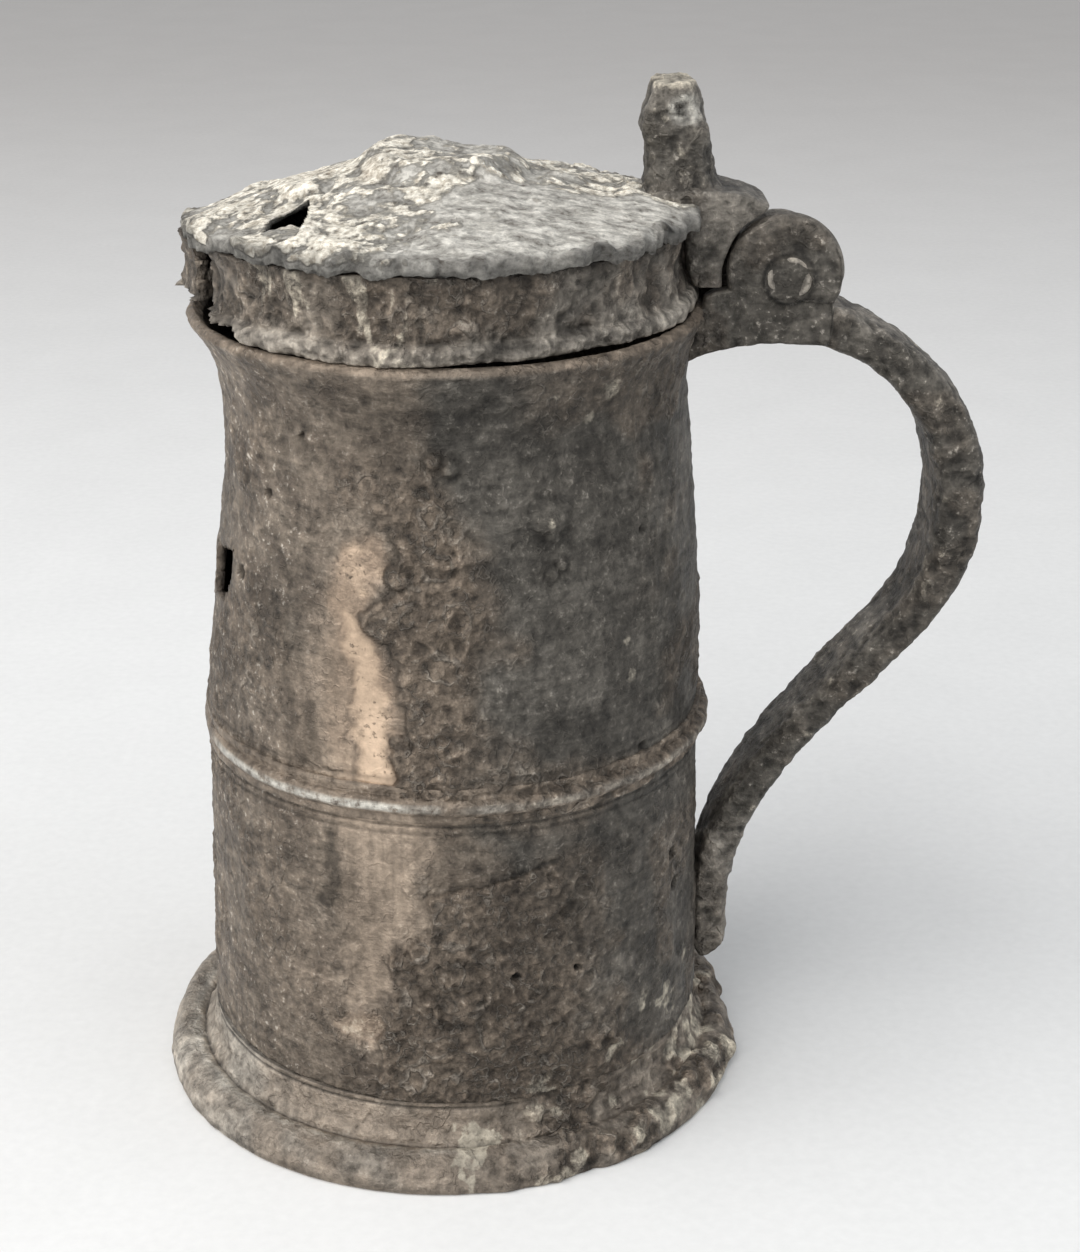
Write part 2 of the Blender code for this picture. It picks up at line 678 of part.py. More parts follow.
def drum_cutter():
    """The drum's outside grown by a seat gap and carried up past the lip, to fit the handle to it."""
    low = FOOT_HEIGHT
    heights = spread(LIP_HEIGHT, NECK_HEIGHT, 4) + spread(NECK_HEIGHT, WAIST_HEIGHT, 4)[1:]
    outside = [(drum_radius(height) + SEAT_GAP, height) for height in heights + [low]]
    over = (LIP_RADIUS + SEAT_GAP, RIM_HEIGHT + CUTTER_MARGIN)
    profile = [(0.0, over[1]), over] + outside + [(0.0, low)]
    return turned("drum_cutter", profile, HELPERS, closed=False)


def make_handle():
    """Strap, arm and hinge ears in one casting, slotted for the knuckle and bored for the pin."""
    handle = handle_strap()
    finish(handle, (0.130, 0.115, 0.100), 0.68, 0.50)
    half = HINGE_WIDTH / 2
    arm = block("hinge_arm", (NECK_RADIUS - DRUM_WALL, -half, ARM_BOTTOM), (PIN_X, half, ARM_TOP), HELPERS)
    ears = rod("hinge_ears", EAR_RADIUS, HINGE_WIDTH, TURN_STEPS // 2, HELPERS)
    slot_width = KNUCKLE_WIDTH + RUN_GAP * 2
    round_slot = rod("round_slot", KNUCKLE_RADIUS + RUN_GAP, slot_width, PIN_STEPS, HELPERS)
    open_slot = block(
        "open_slot",
        (PIN_X - EAR_RADIUS - CUTTER_MARGIN, -slot_width / 2, ARM_TOP),
        (PIN_X + EAR_RADIUS + CUTTER_MARGIN, slot_width / 2, ARM_TOP + CUTTER_MARGIN * 2),
        HELPERS,
    )
    bore = rod("pin_bore", PIN_RADIUS + PIN_GAP, HINGE_WIDTH * 2, PIN_STEPS, HELPERS)
    sink = rod("head_sinks", PIN_HEAD_RADIUS + SEAT_GAP, HINGE_WIDTH * 2, PIN_STEPS, HELPERS)
    shank = rod(
        "sink_stop", EAR_RADIUS, HINGE_WIDTH - 2 * (PIN_HEAD_DEPTH + SEAT_GAP), PIN_STEPS, HELPERS
    )
    combine(sink, carry(shank, DRUM_AXIS), "DIFFERENCE")
    for helper in (arm, ears):
        combine(handle, carry(chamfer(helper), DRUM_AXIS), "UNION")
    for helper in (drum_cutter(), round_slot, open_slot, bore, sink):
        combine(handle, carry(helper, DRUM_AXIS), "DIFFERENCE")
    return carry(handle, DRUM_AXIS)


for leftover in list(bpy.data.objects):
    bpy.data.objects.remove(leftover, do_unlink=True)

PIECES = new_group("tankard")
HELPERS = new_group("cutters")
DRUM_AXIS = new_carrier("drum_axis", (AXIS_X, 0.0, 0.0))
HINGE_AXIS = new_carrier("hinge_axis", (PIN_X, 0.0, PIN_HEIGHT), DRUM_AXIS)

make_foot_ring()
make_floor_disc()
make_lower_drum()
make_upper_drum()
make_waist_band()
make_handle()
make_hinge_pin()
make_lid_wall()
make_lid_top()
make_lid_lever()
make_thumbpiece()
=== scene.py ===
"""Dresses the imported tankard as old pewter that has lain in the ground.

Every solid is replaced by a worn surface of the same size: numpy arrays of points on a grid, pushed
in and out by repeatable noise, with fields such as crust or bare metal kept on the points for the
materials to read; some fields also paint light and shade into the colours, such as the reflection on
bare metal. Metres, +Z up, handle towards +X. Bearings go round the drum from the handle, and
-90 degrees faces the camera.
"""

import math

import bpy
import numpy as np
from mathutils import Matrix, Vector


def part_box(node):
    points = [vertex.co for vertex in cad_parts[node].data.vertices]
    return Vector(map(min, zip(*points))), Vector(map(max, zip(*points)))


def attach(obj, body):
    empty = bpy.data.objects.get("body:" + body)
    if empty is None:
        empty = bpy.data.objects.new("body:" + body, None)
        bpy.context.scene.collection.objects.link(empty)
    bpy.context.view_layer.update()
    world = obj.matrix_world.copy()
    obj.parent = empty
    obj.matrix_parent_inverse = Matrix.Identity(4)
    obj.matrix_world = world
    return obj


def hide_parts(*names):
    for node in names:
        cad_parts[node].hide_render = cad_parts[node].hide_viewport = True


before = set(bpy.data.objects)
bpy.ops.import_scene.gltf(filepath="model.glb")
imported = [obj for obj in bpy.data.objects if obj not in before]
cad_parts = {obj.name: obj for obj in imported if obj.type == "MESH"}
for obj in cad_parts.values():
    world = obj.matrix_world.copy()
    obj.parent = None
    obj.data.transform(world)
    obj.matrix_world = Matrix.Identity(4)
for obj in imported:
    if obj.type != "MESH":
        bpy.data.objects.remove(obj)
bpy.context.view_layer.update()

bl_info = {
    "name": "Old Pewter Tankard",
    "version": (1, 0, 0),
    "blender": (4, 5, 0),
    "location": "View3D > Sidebar > Tankard",
    "description": "Builds the worn surfaces of a lidded tankard around its packed solids",
    "category": "Object",
}

MM = 0.001
FOOT_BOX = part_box("foot_ring")
FLOOR_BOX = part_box("floor_disc")
LOWER_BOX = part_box("lower_drum")
UPPER_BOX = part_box("upper_drum")
BAND_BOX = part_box("waist_band")
LID_WALL_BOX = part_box("lid_wall")
LID_TOP_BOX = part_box("lid_top")
PIN_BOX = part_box("hinge_pin")
THUMB_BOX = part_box("thumbpiece")

# Where the drum's axis is along X, how far the pin is from it, and the pin's height
AXIS_X = (LOWER_BOX[0].x + LOWER_BOX[1].x) / 2
PIN_X = (PIN_BOX[0].x + PIN_BOX[1].x) / 2 - AXIS_X
PIN_Z = (PIN_BOX[0].z + PIN_BOX[1].z) / 2


# Repeatable noise; sizes are in millimetres

LOW_BITS = 0xFFFFFFFF
OCTAVE_FADE = 0.55


def smooth(low, high, value):
    """0 below low, 1 above high, and 3t*t - 2t*t*t between them."""
    share = np.clip((value - low) / (high - low), 0.0, 1.0)
    return share * share * (3.0 - 2.0 * share)


def bell(value, width):
    """1 at zero, falling both ways as e to the power of minus the square of value over width."""
    return np.exp(-((value / width) ** 2))


def scatter(cells, seed):
    """A number from 0 to 1 for each whole-number cell: its coordinates times large odd numbers, folded."""
    mixed = cells[..., 0] * 374761393 + cells[..., 1] * 668265263 + cells[..., 2] * 362437
    mixed = (mixed + seed * 974634777) & LOW_BITS
    mixed = ((mixed ^ (mixed >> 13)) * 1274126177) & LOW_BITS
    mixed = ((mixed ^ (mixed >> 15)) * 668265261) & LOW_BITS
    return ((mixed ^ (mixed >> 16)) & 0xFFFF) / 65535.0


def noise(points, size, seed):
    """Scattered numbers on a cubic lattice of this size, blended between corners: from -1 to 1."""
    place = points / (size * MM)
    base = np.floor(place).astype(np.int64)
    share = smooth(0.0, 1.0, place - base)
    total = np.zeros(points.shape[:-1])
    for corner in np.ndindex(2, 2, 2):
        weight = np.prod(np.where(corner, share, 1.0 - share), axis=-1)
        total += weight * scatter(base + np.array(corner), seed)
    return 2.0 * total - 1.0


def fractal(points, size, octaves, seed):
    """Noise added to itself at half the size and a fixed share of the strength, for each octave."""
    total = np.zeros(points.shape[:-1])
    for octave in range(octaves):
        total += OCTAVE_FADE**octave * noise(points, size / 2.0**octave, seed + 17 * octave)
    return total


def blisters(points, size, seed):
    """Round swellings: 1 at each of the points jittered one to a cell, down to 0 a cell away."""
    place = points / (size * MM)
    base = np.floor(place).astype(np.int64)
    nearest = np.full(points.shape[:-1], 9.0)
    for offset in np.ndindex(3, 3, 3):
        cell = base + np.array(offset) - 1
        middle = cell + np.stack([scatter(cell, seed + axis) for axis in range(3)], axis=-1)
        nearest = np.minimum(nearest, np.linalg.norm(place - middle, axis=-1))
    return np.clip(1.0 - nearest, 0.0, 1.0)


def terraces(height, steps):
    """Turns a smooth height into layers with steep edges, as where a crust flakes off in sheets."""
    level = height * steps
    floor = np.floor(level)
    return (floor + smooth(0.62, 1.0, level - floor)) / steps


def stretched(points, along):
    """The points with their height scaled, so that noise on them runs in streaks."""
    return points * np.array((1.0, 1.0, along))


# Marks on the drum and the lid, placed by bearing in degrees and height in millimetres

# Millimetres of arc to a degree of bearing, on a drum about 49 mm in radius
DEGREE = 0.86


def stroke(bearing, height, spine, soft):
    """1 inside a brush stroke and 0 outside: the stroke's half-width less the distance to its line.

    The line goes through (bearing, height, half-width) points; bearings become millimetres of arc."""
    sideways = np.degrees(bearing) * DEGREE
    best = np.full(np.shape(sideways), -99.0)
    for first, last in zip(spine, spine[1:]):
        start = np.array((first[0] * DEGREE, first[1]))
        run = np.array((last[0] * DEGREE, last[1])) - start
        share = ((sideways - start[0]) * run[0] + (height - start[1]) * run[1]) / (run @ run)
        share = np.clip(share, 0.0, 1.0)
        gap = np.hypot(sideways - start[0] - share * run[0], height - start[1] - share * run[1])
        best = np.maximum(best, first[2] + share * (last[2] - first[2]) - gap)
    return smooth(-soft, soft, best)


def away_from(mark, bearing, height):
    """Distance in millimetres from a mark's (bearing, height)."""
    return np.hypot((np.degrees(bearing) - mark[0]) * DEGREE, height - mark[1])


def past(bearing, height, line, soft):
    """1 where the bearing is past a line of (height, bearing) points, over a softness in millimetres."""
    heights, edges = np.array(line).T
    return smooth(-soft, soft, (np.degrees(bearing) - np.interp(height, heights, edges)) * DEGREE)


def off_bearing(bearing, at):
    """Degrees from one bearing to another, the short way round."""
    return np.degrees(np.angle(np.exp(1j * (bearing - math.radians(at)))))


def seen(bearing):
    """1 on the camera's side, fading to 0 behind, where the bearings start over."""
    return smooth(170.0, 125.0, np.abs(np.degrees(bearing) + 90.0))


# Surfaces


def grid_quads(rows, columns, wrap_rows, wrap_columns):
    """Corner numbers of every cell of a grid, as an array of rows by columns by four."""
    down = np.arange(rows if wrap_rows else rows - 1)[:, None] * columns
    along = np.arange(columns if wrap_columns else columns - 1)[None, :]
    below = (down + columns) % (rows * columns)
    after = (along + 1) % columns
    return np.stack((down + along, down + after, below + after, below + along), axis=-1)


def cap_quads(ring):
    """Closes a ring of corner numbers with a strip of quads that runs across it."""
    half = len(ring) // 2
    first = np.arange(half - 1)
    back = ring[::-1]
    return np.stack((ring[first], ring[first + 1], back[first + 1], back[first]), axis=-1)


def normals(grid, wrap_rows, wrap_columns):
    """Unit vectors square to a grid: its slope along the columns crossed with its slope along the rows."""

    def slope(axis, wrap):
        if wrap:
            return np.roll(grid, -1, axis) - np.roll(grid, 1, axis)
        return np.gradient(grid, axis=axis)

    square = np.cross(slope(1, wrap_columns), slope(0, wrap_rows))
    return square / np.maximum(np.linalg.norm(square, axis=-1, keepdims=True), 1e-12)


def blurred(field, wrap_rows, reach):
    """The mean of a field over a square of neighbours, columns wrapping round."""
    total = field
    for axis, wrap in ((0, wrap_rows), (1, True)):
        moved = [np.roll(total, step, axis) for step in range(-reach, reach + 1)]
        if not wrap:
            edge = np.pad(total, ((reach, reach), (0, 0)), mode="edge")
            moved = [edge[step : step + len(total)] for step in range(2 * reach + 1)]
        total = sum(moved) / len(moved)
    return total


def relief_of(push, wrap_rows=True, reach=4, depth=0.25 * MM):
    """How far a point stands above its neighbours, from -1 in a pit to 1 on a crest."""
    return np.clip((push - blurred(push, wrap_rows, reach)) / depth, -1.0, 1.0)


def evenly(line, count, closed=False):
    """Points the same way apart along a line of points, measured in their first two coordinates."""
    steps = np.linalg.norm(np.diff(line[:, :2], axis=0), axis=1)
    travel = np.concatenate(([0.0], np.cumsum(steps)))
    stops = np.linspace(0.0, travel[-1], count, endpoint=not closed)
    return np.stack([np.interp(stops, travel, column) for column in line.T], axis=-1)


def resample(knots, count):
    """A smooth line of evenly spaced points through knots: cubic pieces whose slopes join neighbours."""
    knots = np.asarray(knots, float)
    slopes = np.gradient(knots, axis=0)
    share = np.linspace(0.0, len(knots) - 1.0, 40 * len(knots))
    piece = np.minimum(share.astype(int), len(knots) - 2)
    t = (share - piece)[:, None]
    line = (
        (2 * t**3 - 3 * t**2 + 1) * knots[piece]
        + (t**3 - 2 * t**2 + t) * slopes[piece]
        + (3 * t**2 - 2 * t**3) * knots[piece + 1]
        + (t**3 - t**2) * slopes[piece + 1]
    )
    return evenly(line, count)


def along_profile(profile, count, closed=False):
    """Columns of points the same share of a profile apart, corner to corner, one column to a coordinate."""
    path = np.array(profile)
    if closed:
        path = np.concatenate((path, path[:1]))
    rows = np.linspace(0.0, len(path) - 1.0, count, endpoint=not closed)
    return [np.interp(rows, np.arange(len(path)), column)[:, None] for column in path.T]


def circle(columns):
    """Angles once round."""
    return np.arange(columns) * math.tau / columns


def bearings(columns, gather=0.55):
    """Angles once round from behind, -270 to 90 degrees, gathered on the side towards the camera."""
    turn = circle(columns)
    return turn - 1.5 * math.pi + gather * np.sin(turn)


def square_grid(low, high, count):
    """Two arrays of a square grid's coordinates, both from low to high."""
    side = np.linspace(low, high, count)
    return np.meshgrid(side, side)


def quarter(share, start):
    """Angle of a quarter round at the end of a way: 0 up to start, then evenly to a right angle at 1."""
    return np.clip((share - start) / (1.0 - start), 0.0, 1.0) * math.pi / 2


def squarish(wave, power):
    """A sine or cosine raised to a power less than 1 with its sign kept, which squares a circle's sides."""
    return np.sign(wave) * np.abs(wave) ** power


def stacked(x, y, z):
    """Points from arrays of their coordinates, spread to one shape."""
    return np.stack(np.broadcast_arrays(x, y, z), axis=-1)


def turned(radius, height, angle):
    """Points of a turned surface: arrays of radius and height carried round the drum's axis."""
    return stacked(AXIS_X + radius * np.cos(angle), radius * np.sin(angle), height)


def about_pin(radius, along, turn):
    """Points of a surface turned round the pin's axis, from radius and place along it."""
    return stacked(AXIS_X + PIN_X + radius * np.cos(turn), along, PIN_Z + radius * np.sin(turn))


def from_pin(grid):
    """Distance of points from the pin's axis in millimetres."""
    return np.hypot(grid[..., 0] - AXIS_X - PIN_X, grid[..., 2] - PIN_Z) / MM


def lift(fields, **marks):
    """Raises each field named to its mark wherever the mark is larger."""
    for field, values in marks.items():
        fields[field] = np.maximum(fields[field], values)


def make_mesh(name, points, quads, fields):
    """A mesh of quads facing outwards, with each field, or its one value, kept on its points."""
    shape = points.shape[:-1]
    used, quads = np.unique(quads, return_inverse=True)
    quads = quads.reshape(-1, 4)
    points = points.reshape(-1, 3)[used]
    first, second, third, fourth = points[quads].swapaxes(0, 1)
    volume = (first * np.cross(second, third)).sum() + (first * np.cross(third, fourth)).sum()
    if volume < 0.0:
        quads = quads[:, ::-1]
    mesh = bpy.data.meshes.new(name)
    mesh.vertices.add(len(points))
    mesh.vertices.foreach_set("co", points.astype(np.float32).ravel())
    mesh.loops.add(quads.size)
    mesh.loops.foreach_set("vertex_index", quads.astype(np.int32).ravel())
    mesh.polygons.add(len(quads))
    mesh.polygons.foreach_set("loop_start", np.arange(0, quads.size, 4, dtype=np.int32))
    mesh.update(calc_edges=True)
    mesh.shade_smooth()
    for field, values in fields.items():
        layer = mesh.attributes.new(field, "FLOAT", "POINT")
        layer.data.foreach_set("value", np.broadcast_to(values, shape).astype(np.float32).ravel()[used])
    return mesh


def add_piece(mesh, body, node, material):
    """Puts a mesh in the scene in place of a solid, riding on that solid's body."""
    obj = bpy.data.objects.new(mesh.name, mesh)
    bpy.context.scene.collection.objects.link(obj)
    mesh.materials.append(material)
    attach(obj, body)
    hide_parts(node)


def ring_mesh(name, grid, fields):
    """A closed profile carried round: the grid joins up both ways."""
    quads = grid_quads(*grid.shape[:2], True, True)
    return make_mesh(name, grid, quads.reshape(-1, 4), fields)


def tube_mesh(name, grid, fields):
    """Rings along a path, with both ends closed."""
    rows, columns = grid.shape[:2]
    quads = grid_quads(rows, columns, False, True).reshape(-1, 4)
    first = np.arange(columns)
    caps = (cap_quads(first)[:, ::-1], cap_quads(first + (rows - 1) * columns))
    return make_mesh(name, grid, np.concatenate((quads, *caps)), fields)


def shell_mesh(name, outer, inner, keep, wrap, fields, **inside):
    """A sheet with two sides: both grids where a cell is kept, and walls wherever a kept cell ends.

    The fields are the outer side's; inside gives a field's one value on the inner side, or else it is 0."""
    rows, columns = outer.shape[:2]
    cells = grid_quads(rows, columns, False, wrap)
    count = rows * columns
    padded = np.pad(keep, ((1, 1), (0, 0)) if wrap else 1)
    if wrap:
        padded = np.concatenate((padded[:, -1:], padded, padded[:, :1]), axis=1)
    beyond = (padded[:-2, 1:-1], padded[1:-1, 2:], padded[2:, 1:-1], padded[1:-1, :-2])
    parts = [cells[keep], cells[keep][:, ::-1] + count]
    for side, other in enumerate(beyond):
        ends = cells[padded[1:-1, 1:-1] & ~other]
        start, stop = ends[:, side], ends[:, (side + 1) % 4]
        parts.append(np.stack((stop, start, start + count, stop + count), axis=-1))
    points = np.concatenate((outer.reshape(-1, 3), inner.reshape(-1, 3)))
    whole = {}
    for field, values in fields.items():
        front = np.broadcast_to(values, (rows, columns)).ravel()
        whole[field] = np.concatenate((front, np.full(count, inside.get(field, 0.0))))
    return make_mesh(name, points, np.concatenate(parts), whole)


# Materials


class Field:
    """A value in a material's nodes, so that shader maths reads as ordinary sums."""

    def __init__(self, shades, socket):
        self.shades = shades
        self.socket = socket

    def _sum(self, operation, *values):
        return self.shades.node("ShaderNodeMath", {"operation": operation}, dict(enumerate(values)))

    def __add__(self, other):
        return self._sum("ADD", self, other)

    def __radd__(self, other):
        return self._sum("ADD", other, self)

    def __sub__(self, other):
        return self._sum("SUBTRACT", self, other)

    def __rsub__(self, other):
        return self._sum("SUBTRACT", other, self)

    def __mul__(self, other):
        return self._sum("MULTIPLY", self, other)

    def __rmul__(self, other):
        return self._sum("MULTIPLY", other, self)

    def above(self, low, high):
        """0 below low and 1 above high, with a smooth step between."""
        values = {"Value": self, "From Min": low, "From Max": high}
        return self.shades.node("ShaderNodeMapRange", {"interpolation_type": "SMOOTHSTEP"}, values)


class Shades:
    """A material's node tree."""

    def __init__(self, name):
        self.material = bpy.data.materials.new(name)
        self.material.use_nodes = True
        self.tree = self.material.node_tree
        self.surface = self.tree.nodes["Principled BSDF"]
        self.place = self.node("ShaderNodeTexCoord", {}, {}, "Object")

    def connect(self, socket, value):
        """Links a field to a socket, or sets a number or colour on it."""
        if isinstance(value, Field):
            self.tree.links.new(value.socket, socket)
        elif socket.type == "RGBA":
            socket.default_value = (*value[:3], 1.0)
        else:
            socket.default_value = value

    def node(self, kind, settings, values, output=0):
        """Adds a node: its settings first, then the value or link of each socket named or numbered."""
        made = self.tree.nodes.new(kind)
        for setting, value in settings.items():
            setattr(made, setting, value)
        named = {socket.identifier: socket for socket in made.inputs}
        for key, value in values.items():
            self.connect(named.get(key) or made.inputs[key], value)
        given = {socket.identifier: socket for socket in made.outputs}
        return Field(self, given.get(output) or made.outputs[output])

    def kept(self, field):
        """A field kept on the mesh's points."""
        return self.node("ShaderNodeAttribute", {"attribute_name": field}, {}, "Fac")

    def grain(self, size, detail=4.0, squash=(1.0, 1.0, 1.0), rough=0.55):
        """Noise with features of about this size in millimetres, squashed along some axes."""
        place = self.place
        if squash != (1.0, 1.0, 1.0):
            place = self.node("ShaderNodeMapping", {}, {"Vector": place, "Scale": squash}, "Vector")
        values = {"Vector": place, "Scale": 1.0 / (size * MM), "Detail": detail, "Roughness": rough}
        return self.node("ShaderNodeTexNoise", {}, values)

    def curls(self, size):
        """Thin uneven rings round scattered points this many millimetres apart.

        A ring is a band of distances to the nearest point, at places bent by noise."""
        reach = size * MM
        bend = {"Vector": self.place, "Scale": 1.6 / reach, "Detail": 3.0}
        bend = self.node("ShaderNodeTexNoise", {}, bend, "Color")
        moved = {0: bend, 1: (reach, reach, reach), 2: self.place}
        moved = self.node("ShaderNodeVectorMath", {"operation": "MULTIPLY_ADD"}, moved, "Vector")
        away = self.node("ShaderNodeTexVoronoi", {}, {"Vector": moved, "Scale": 1.0 / reach}, "Distance")
        return away.above(0.3, 0.38) * (1.0 - away.above(0.4, 0.52))

    def mix(self, share, first, second):
        """Two colours mixed by a share."""
        values = {"Factor_Float": share, "A_Color": first, "B_Color": second}
        return self.node("ShaderNodeMix", {"data_type": "RGBA"}, values, "Result_Color")

    def shade(self, colour, level):
        """A colour times a level."""
        values = {0: colour, "Scale": level}
        return self.node("ShaderNodeVectorMath", {"operation": "SCALE"}, values, "Vector")

    def bump(self, height, depth):
        """A normal tilted by the slope of a height, this many millimetres deep."""
        return self.node("ShaderNodeBump", {}, {"Height": height, "Distance": depth * MM}, "Normal")

    def finish(self, **values):
        """Sets the surface's sockets, named with _ for spaces, and gives the material."""
        for name, value in values.items():
            self.connect(self.surface.inputs[name.replace("_", " ")], value)
        return self.material


def paint(red, green, blue):
    """A screen colour from 0 to 255 as the linear colour that shaders use."""
    share = np.array((red, green, blue)) / 255.0
    return tuple(np.where(share <= 0.04045, share / 12.92, ((share + 0.055) / 1.055) ** 2.4).tolist())


def pewter_ground(shades, looks, crust, mottle, skin):
    """Colour of the corroded metal and the height of its curls: two grounds, dust with painted light, crust,
    then curls.
    """
    blotch = mottle.above(0.34, 0.68)
    warm = shades.mix(blotch, looks.ground_dark, looks.ground_light)
    cold = shades.mix(blotch, looks.cool_dark, looks.cool_light)
    colour = shades.mix(shades.kept("cool"), warm, cold)
    # Dust, and painted light where the field is high
    colour = shades.mix(shades.kept("dust") * (0.5 + mottle).above(0.6, 1.3), colour, looks.dust)
    brown = (0.45 * mottle + 0.55 * skin).above(0.38, 0.62)
    brown = shades.mix(brown, looks.crust_dark, looks.crust_light)
    colour = shades.mix(crust * 0.8, colour, brown)
    large = shades.curls(6.5) * mottle.above(0.46, 0.6)
    small = shades.curls(3.4) * (1.0 - mottle.above(0.4, 0.54))
    curl = (large + small) * (0.2 + 0.8 * crust)
    return shades.mix(0.35 * curl, colour, looks.dust), curl


def pewter_wear(shades, looks, colour, mottle, skin, grit):
    """Colour with the worn places over the ground, and how smooth it is: satin, bare metal and polish.

    The satin carries a painted sheen, the bare metal a painted reflection, and the polish painted highlights.
    """
    scratch = shades.grain(2.4, 3.0, (1.0, 1.0, 0.07))
    satin = shades.kept("satin") * (0.55 + 0.9 * mottle).above(0.5, 1.1)
    rubbed = (0.6 * scratch + 0.4 * skin).above(0.34, 0.66)
    colour = shades.mix(satin, colour, shades.mix(rubbed, looks.satin_dark, looks.satin))
    pits = (1.0 - grit.above(0.33, 0.4)) * mottle.above(0.45, 0.65)
    stripped = shades.kept("bare_and_reflection")
    bare_and_reflection = (stripped + 0.5 * (skin - 0.5)).above(0.1, 0.95) * (1.0 - 0.6 * pits)
    core = (stripped + 1.2 * (mottle - 0.5) + 0.5 * (skin - 0.5)).above(0.45, 1.15)
    colour = shades.mix(bare_and_reflection, colour, shades.mix(core, looks.bare_reflection_dull, looks.bare_reflection_bright))
    colour = shades.mix(shades.kept("polish_and_highlight") * skin.above(0.34, 0.5), colour, looks.polish_and_highlight)
    return colour, 0.7 * satin + bare_and_reflection * (1.0 - 0.7 * satin)


def old_pewter(name, looks):
    """Corroded pewter: its ground and worn places, glints and deposits over them, all mottled and rough.

    The relief paints light on crests and shade in pits, and the dirt-and-shade field darkens smudges and
    painted shade.
    """
    shades = Shades(name)
    crust = shades.kept("crust")
    cloud = shades.grain(24.0, 5.0, rough=0.6)
    mottle = shades.grain(9.0, 7.0, rough=0.68)
    skin = shades.grain(2.8, 8.0, rough=0.74)
    grit = shades.grain(1.0, 4.0, rough=0.64)
    turning = shades.grain(1.2, 4.0, (0.09, 0.09, 1.0))
    swell = shades.grain(2.2, 2.0, rough=0.5)
    colour, curl = pewter_ground(shades, looks, crust, mottle, skin)
    colour, smoothed = pewter_wear(shades, looks, colour, mottle, skin, grit)
    glint = (0.6 * grit + 0.4 * skin).above(0.56, 0.64) * (1.0 - smoothed) * shades.kept("glint")
    colour = shades.mix(glint * looks.flecks, colour, looks.glint)
    # Pale deposits, partly painted highlights on crests such as the band's
    deposit_and_highlight = shades.kept("pale") + 1.1 * (skin - 0.5) + 0.4 * (grit - 0.5)
    deposit_and_highlight = deposit_and_highlight.above(0.4, 0.95) * 0.8
    colour = shades.mix(deposit_and_highlight, colour, looks.pale)
    mark = 1.0 + 1.8 * (skin - 0.5) + 1.3 * (grit - 0.5) + 1.4 * (swell - 0.5)
    mark = mark + (turning - 0.5) * (1.0 - crust)
    # Lighter on crests and darker in pits by the relief: painted light and shade, with dirt in the pits
    level = (mark + smoothed * (1.0 - mark) * 0.75) * (1.0 + 0.42 * shades.kept("relief"))
    level = level * (1.0 - 0.94 * shades.kept("soot")) * (0.25 + 0.86 * cloud)
    height = swell * (0.25 + 0.6 * crust) + 0.3 * skin + 0.1 * grit + 0.42 * curl + 0.1 * turning
    return shades.finish(
        Base_Color=shades.shade(colour, level),
        Roughness=0.36 + 0.3 * skin + 0.14 * crust - 0.16 * smoothed + 0.25 * deposit_and_highlight,
        Metallic=(0.55 + 0.25 * smoothed) * (1.0 - 0.35 * crust) * (1.0 - deposit_and_highlight),
        Normal=shades.bump(height * (1.0 - 0.85 * smoothed), 3.2),
    )


def chalky_crust(name, looks):
    """The lid's pale scale: grey layers under cream ones, tan stains, and dark cracks and borders.

    The borders are a painted shadow, and the relief paints light on crests and shade in hollows.
    """
    shades = Shades(name)
    relief = shades.kept("relief")
    flat = (0.8, 1.3, 1.3)
    broad = shades.grain(11.0, 6.0, rough=0.62)
    flake = shades.grain(3.6, 8.0, flat, 0.72)
    grit = shades.grain(1.3, 5.0, rough=0.66)
    grey = shades.mix(flake.above(0.38, 0.62), looks.slate_dark, looks.slate)
    cream = shades.mix(grit.above(0.32, 0.6), looks.chalk_dark, looks.chalk)
    cover = shades.kept("cream") + 1.9 * (broad - 0.5) + 0.7 * (flake - 0.5) + 0.2 * relief
    cover = cover.above(0.42, 0.62)
    colour = shades.mix(cover, grey, cream)
    stain = shades.kept("stain") + 1.3 * (broad - 0.5) + 0.7 * (0.5 - flake)
    colour = shades.mix(stain.above(0.3, 0.7) * 0.7, colour, looks.stain)
    # Lighter on crests and darker in hollows by the relief: painted light and shade
    level = (0.94 + 1.25 * (grit - 0.5) + 1.1 * (flake - 0.5)) * (1.0 + 0.3 * relief)
    colour = shades.shade(colour, level)
    crack = (1.0 - (0.6 * flake + 0.4 * grit).above(0.37, 0.44)) * 0.7
    colour = shades.mix(crack, colour, looks.crust_dark)
    # A painted shadow line along the edges of the cream sheets
    border_shadow = cover * (1.0 - cover) * grit.above(0.4, 0.6)
    colour = shades.mix(1.3 * border_shadow, colour, looks.crust_dark)
    # Painted shade on the rim and underneath
    colour = shades.shade(colour, 1.0 - 0.9 * shades.kept("soot"))
    sheets = shades.grain(4.6, 2.0, flat, 0.5) + 0.3 * cover
    normal = shades.bump(sheets + 0.4 * flake + 0.2 * grit, 3.0)
    return shades.finish(Base_Color=colour, Roughness=0.7 + 0.16 * grit, Normal=normal)


# Sizes and colours that a user would change


def length(name, description, value):
    """A length in metres that a user can set."""
    settings = {"default": value, "min": 0.0, "unit": "LENGTH", "precision": 4}
    return bpy.props.FloatProperty(name=name, description=description, **settings)


def tint(name, description, *screen_colour):
    """A colour that a user can set, given here as it looks on a screen."""
    settings = {"default": paint(*screen_colour), "subtype": "COLOR", "min": 0.0, "max": 1.0}
    return bpy.props.FloatVectorProperty(name=name, description=description, **settings)


def half_width(box, axis):
    """Half of a box's width along an axis."""
    return (box[1][axis] - box[0][axis]) / 2


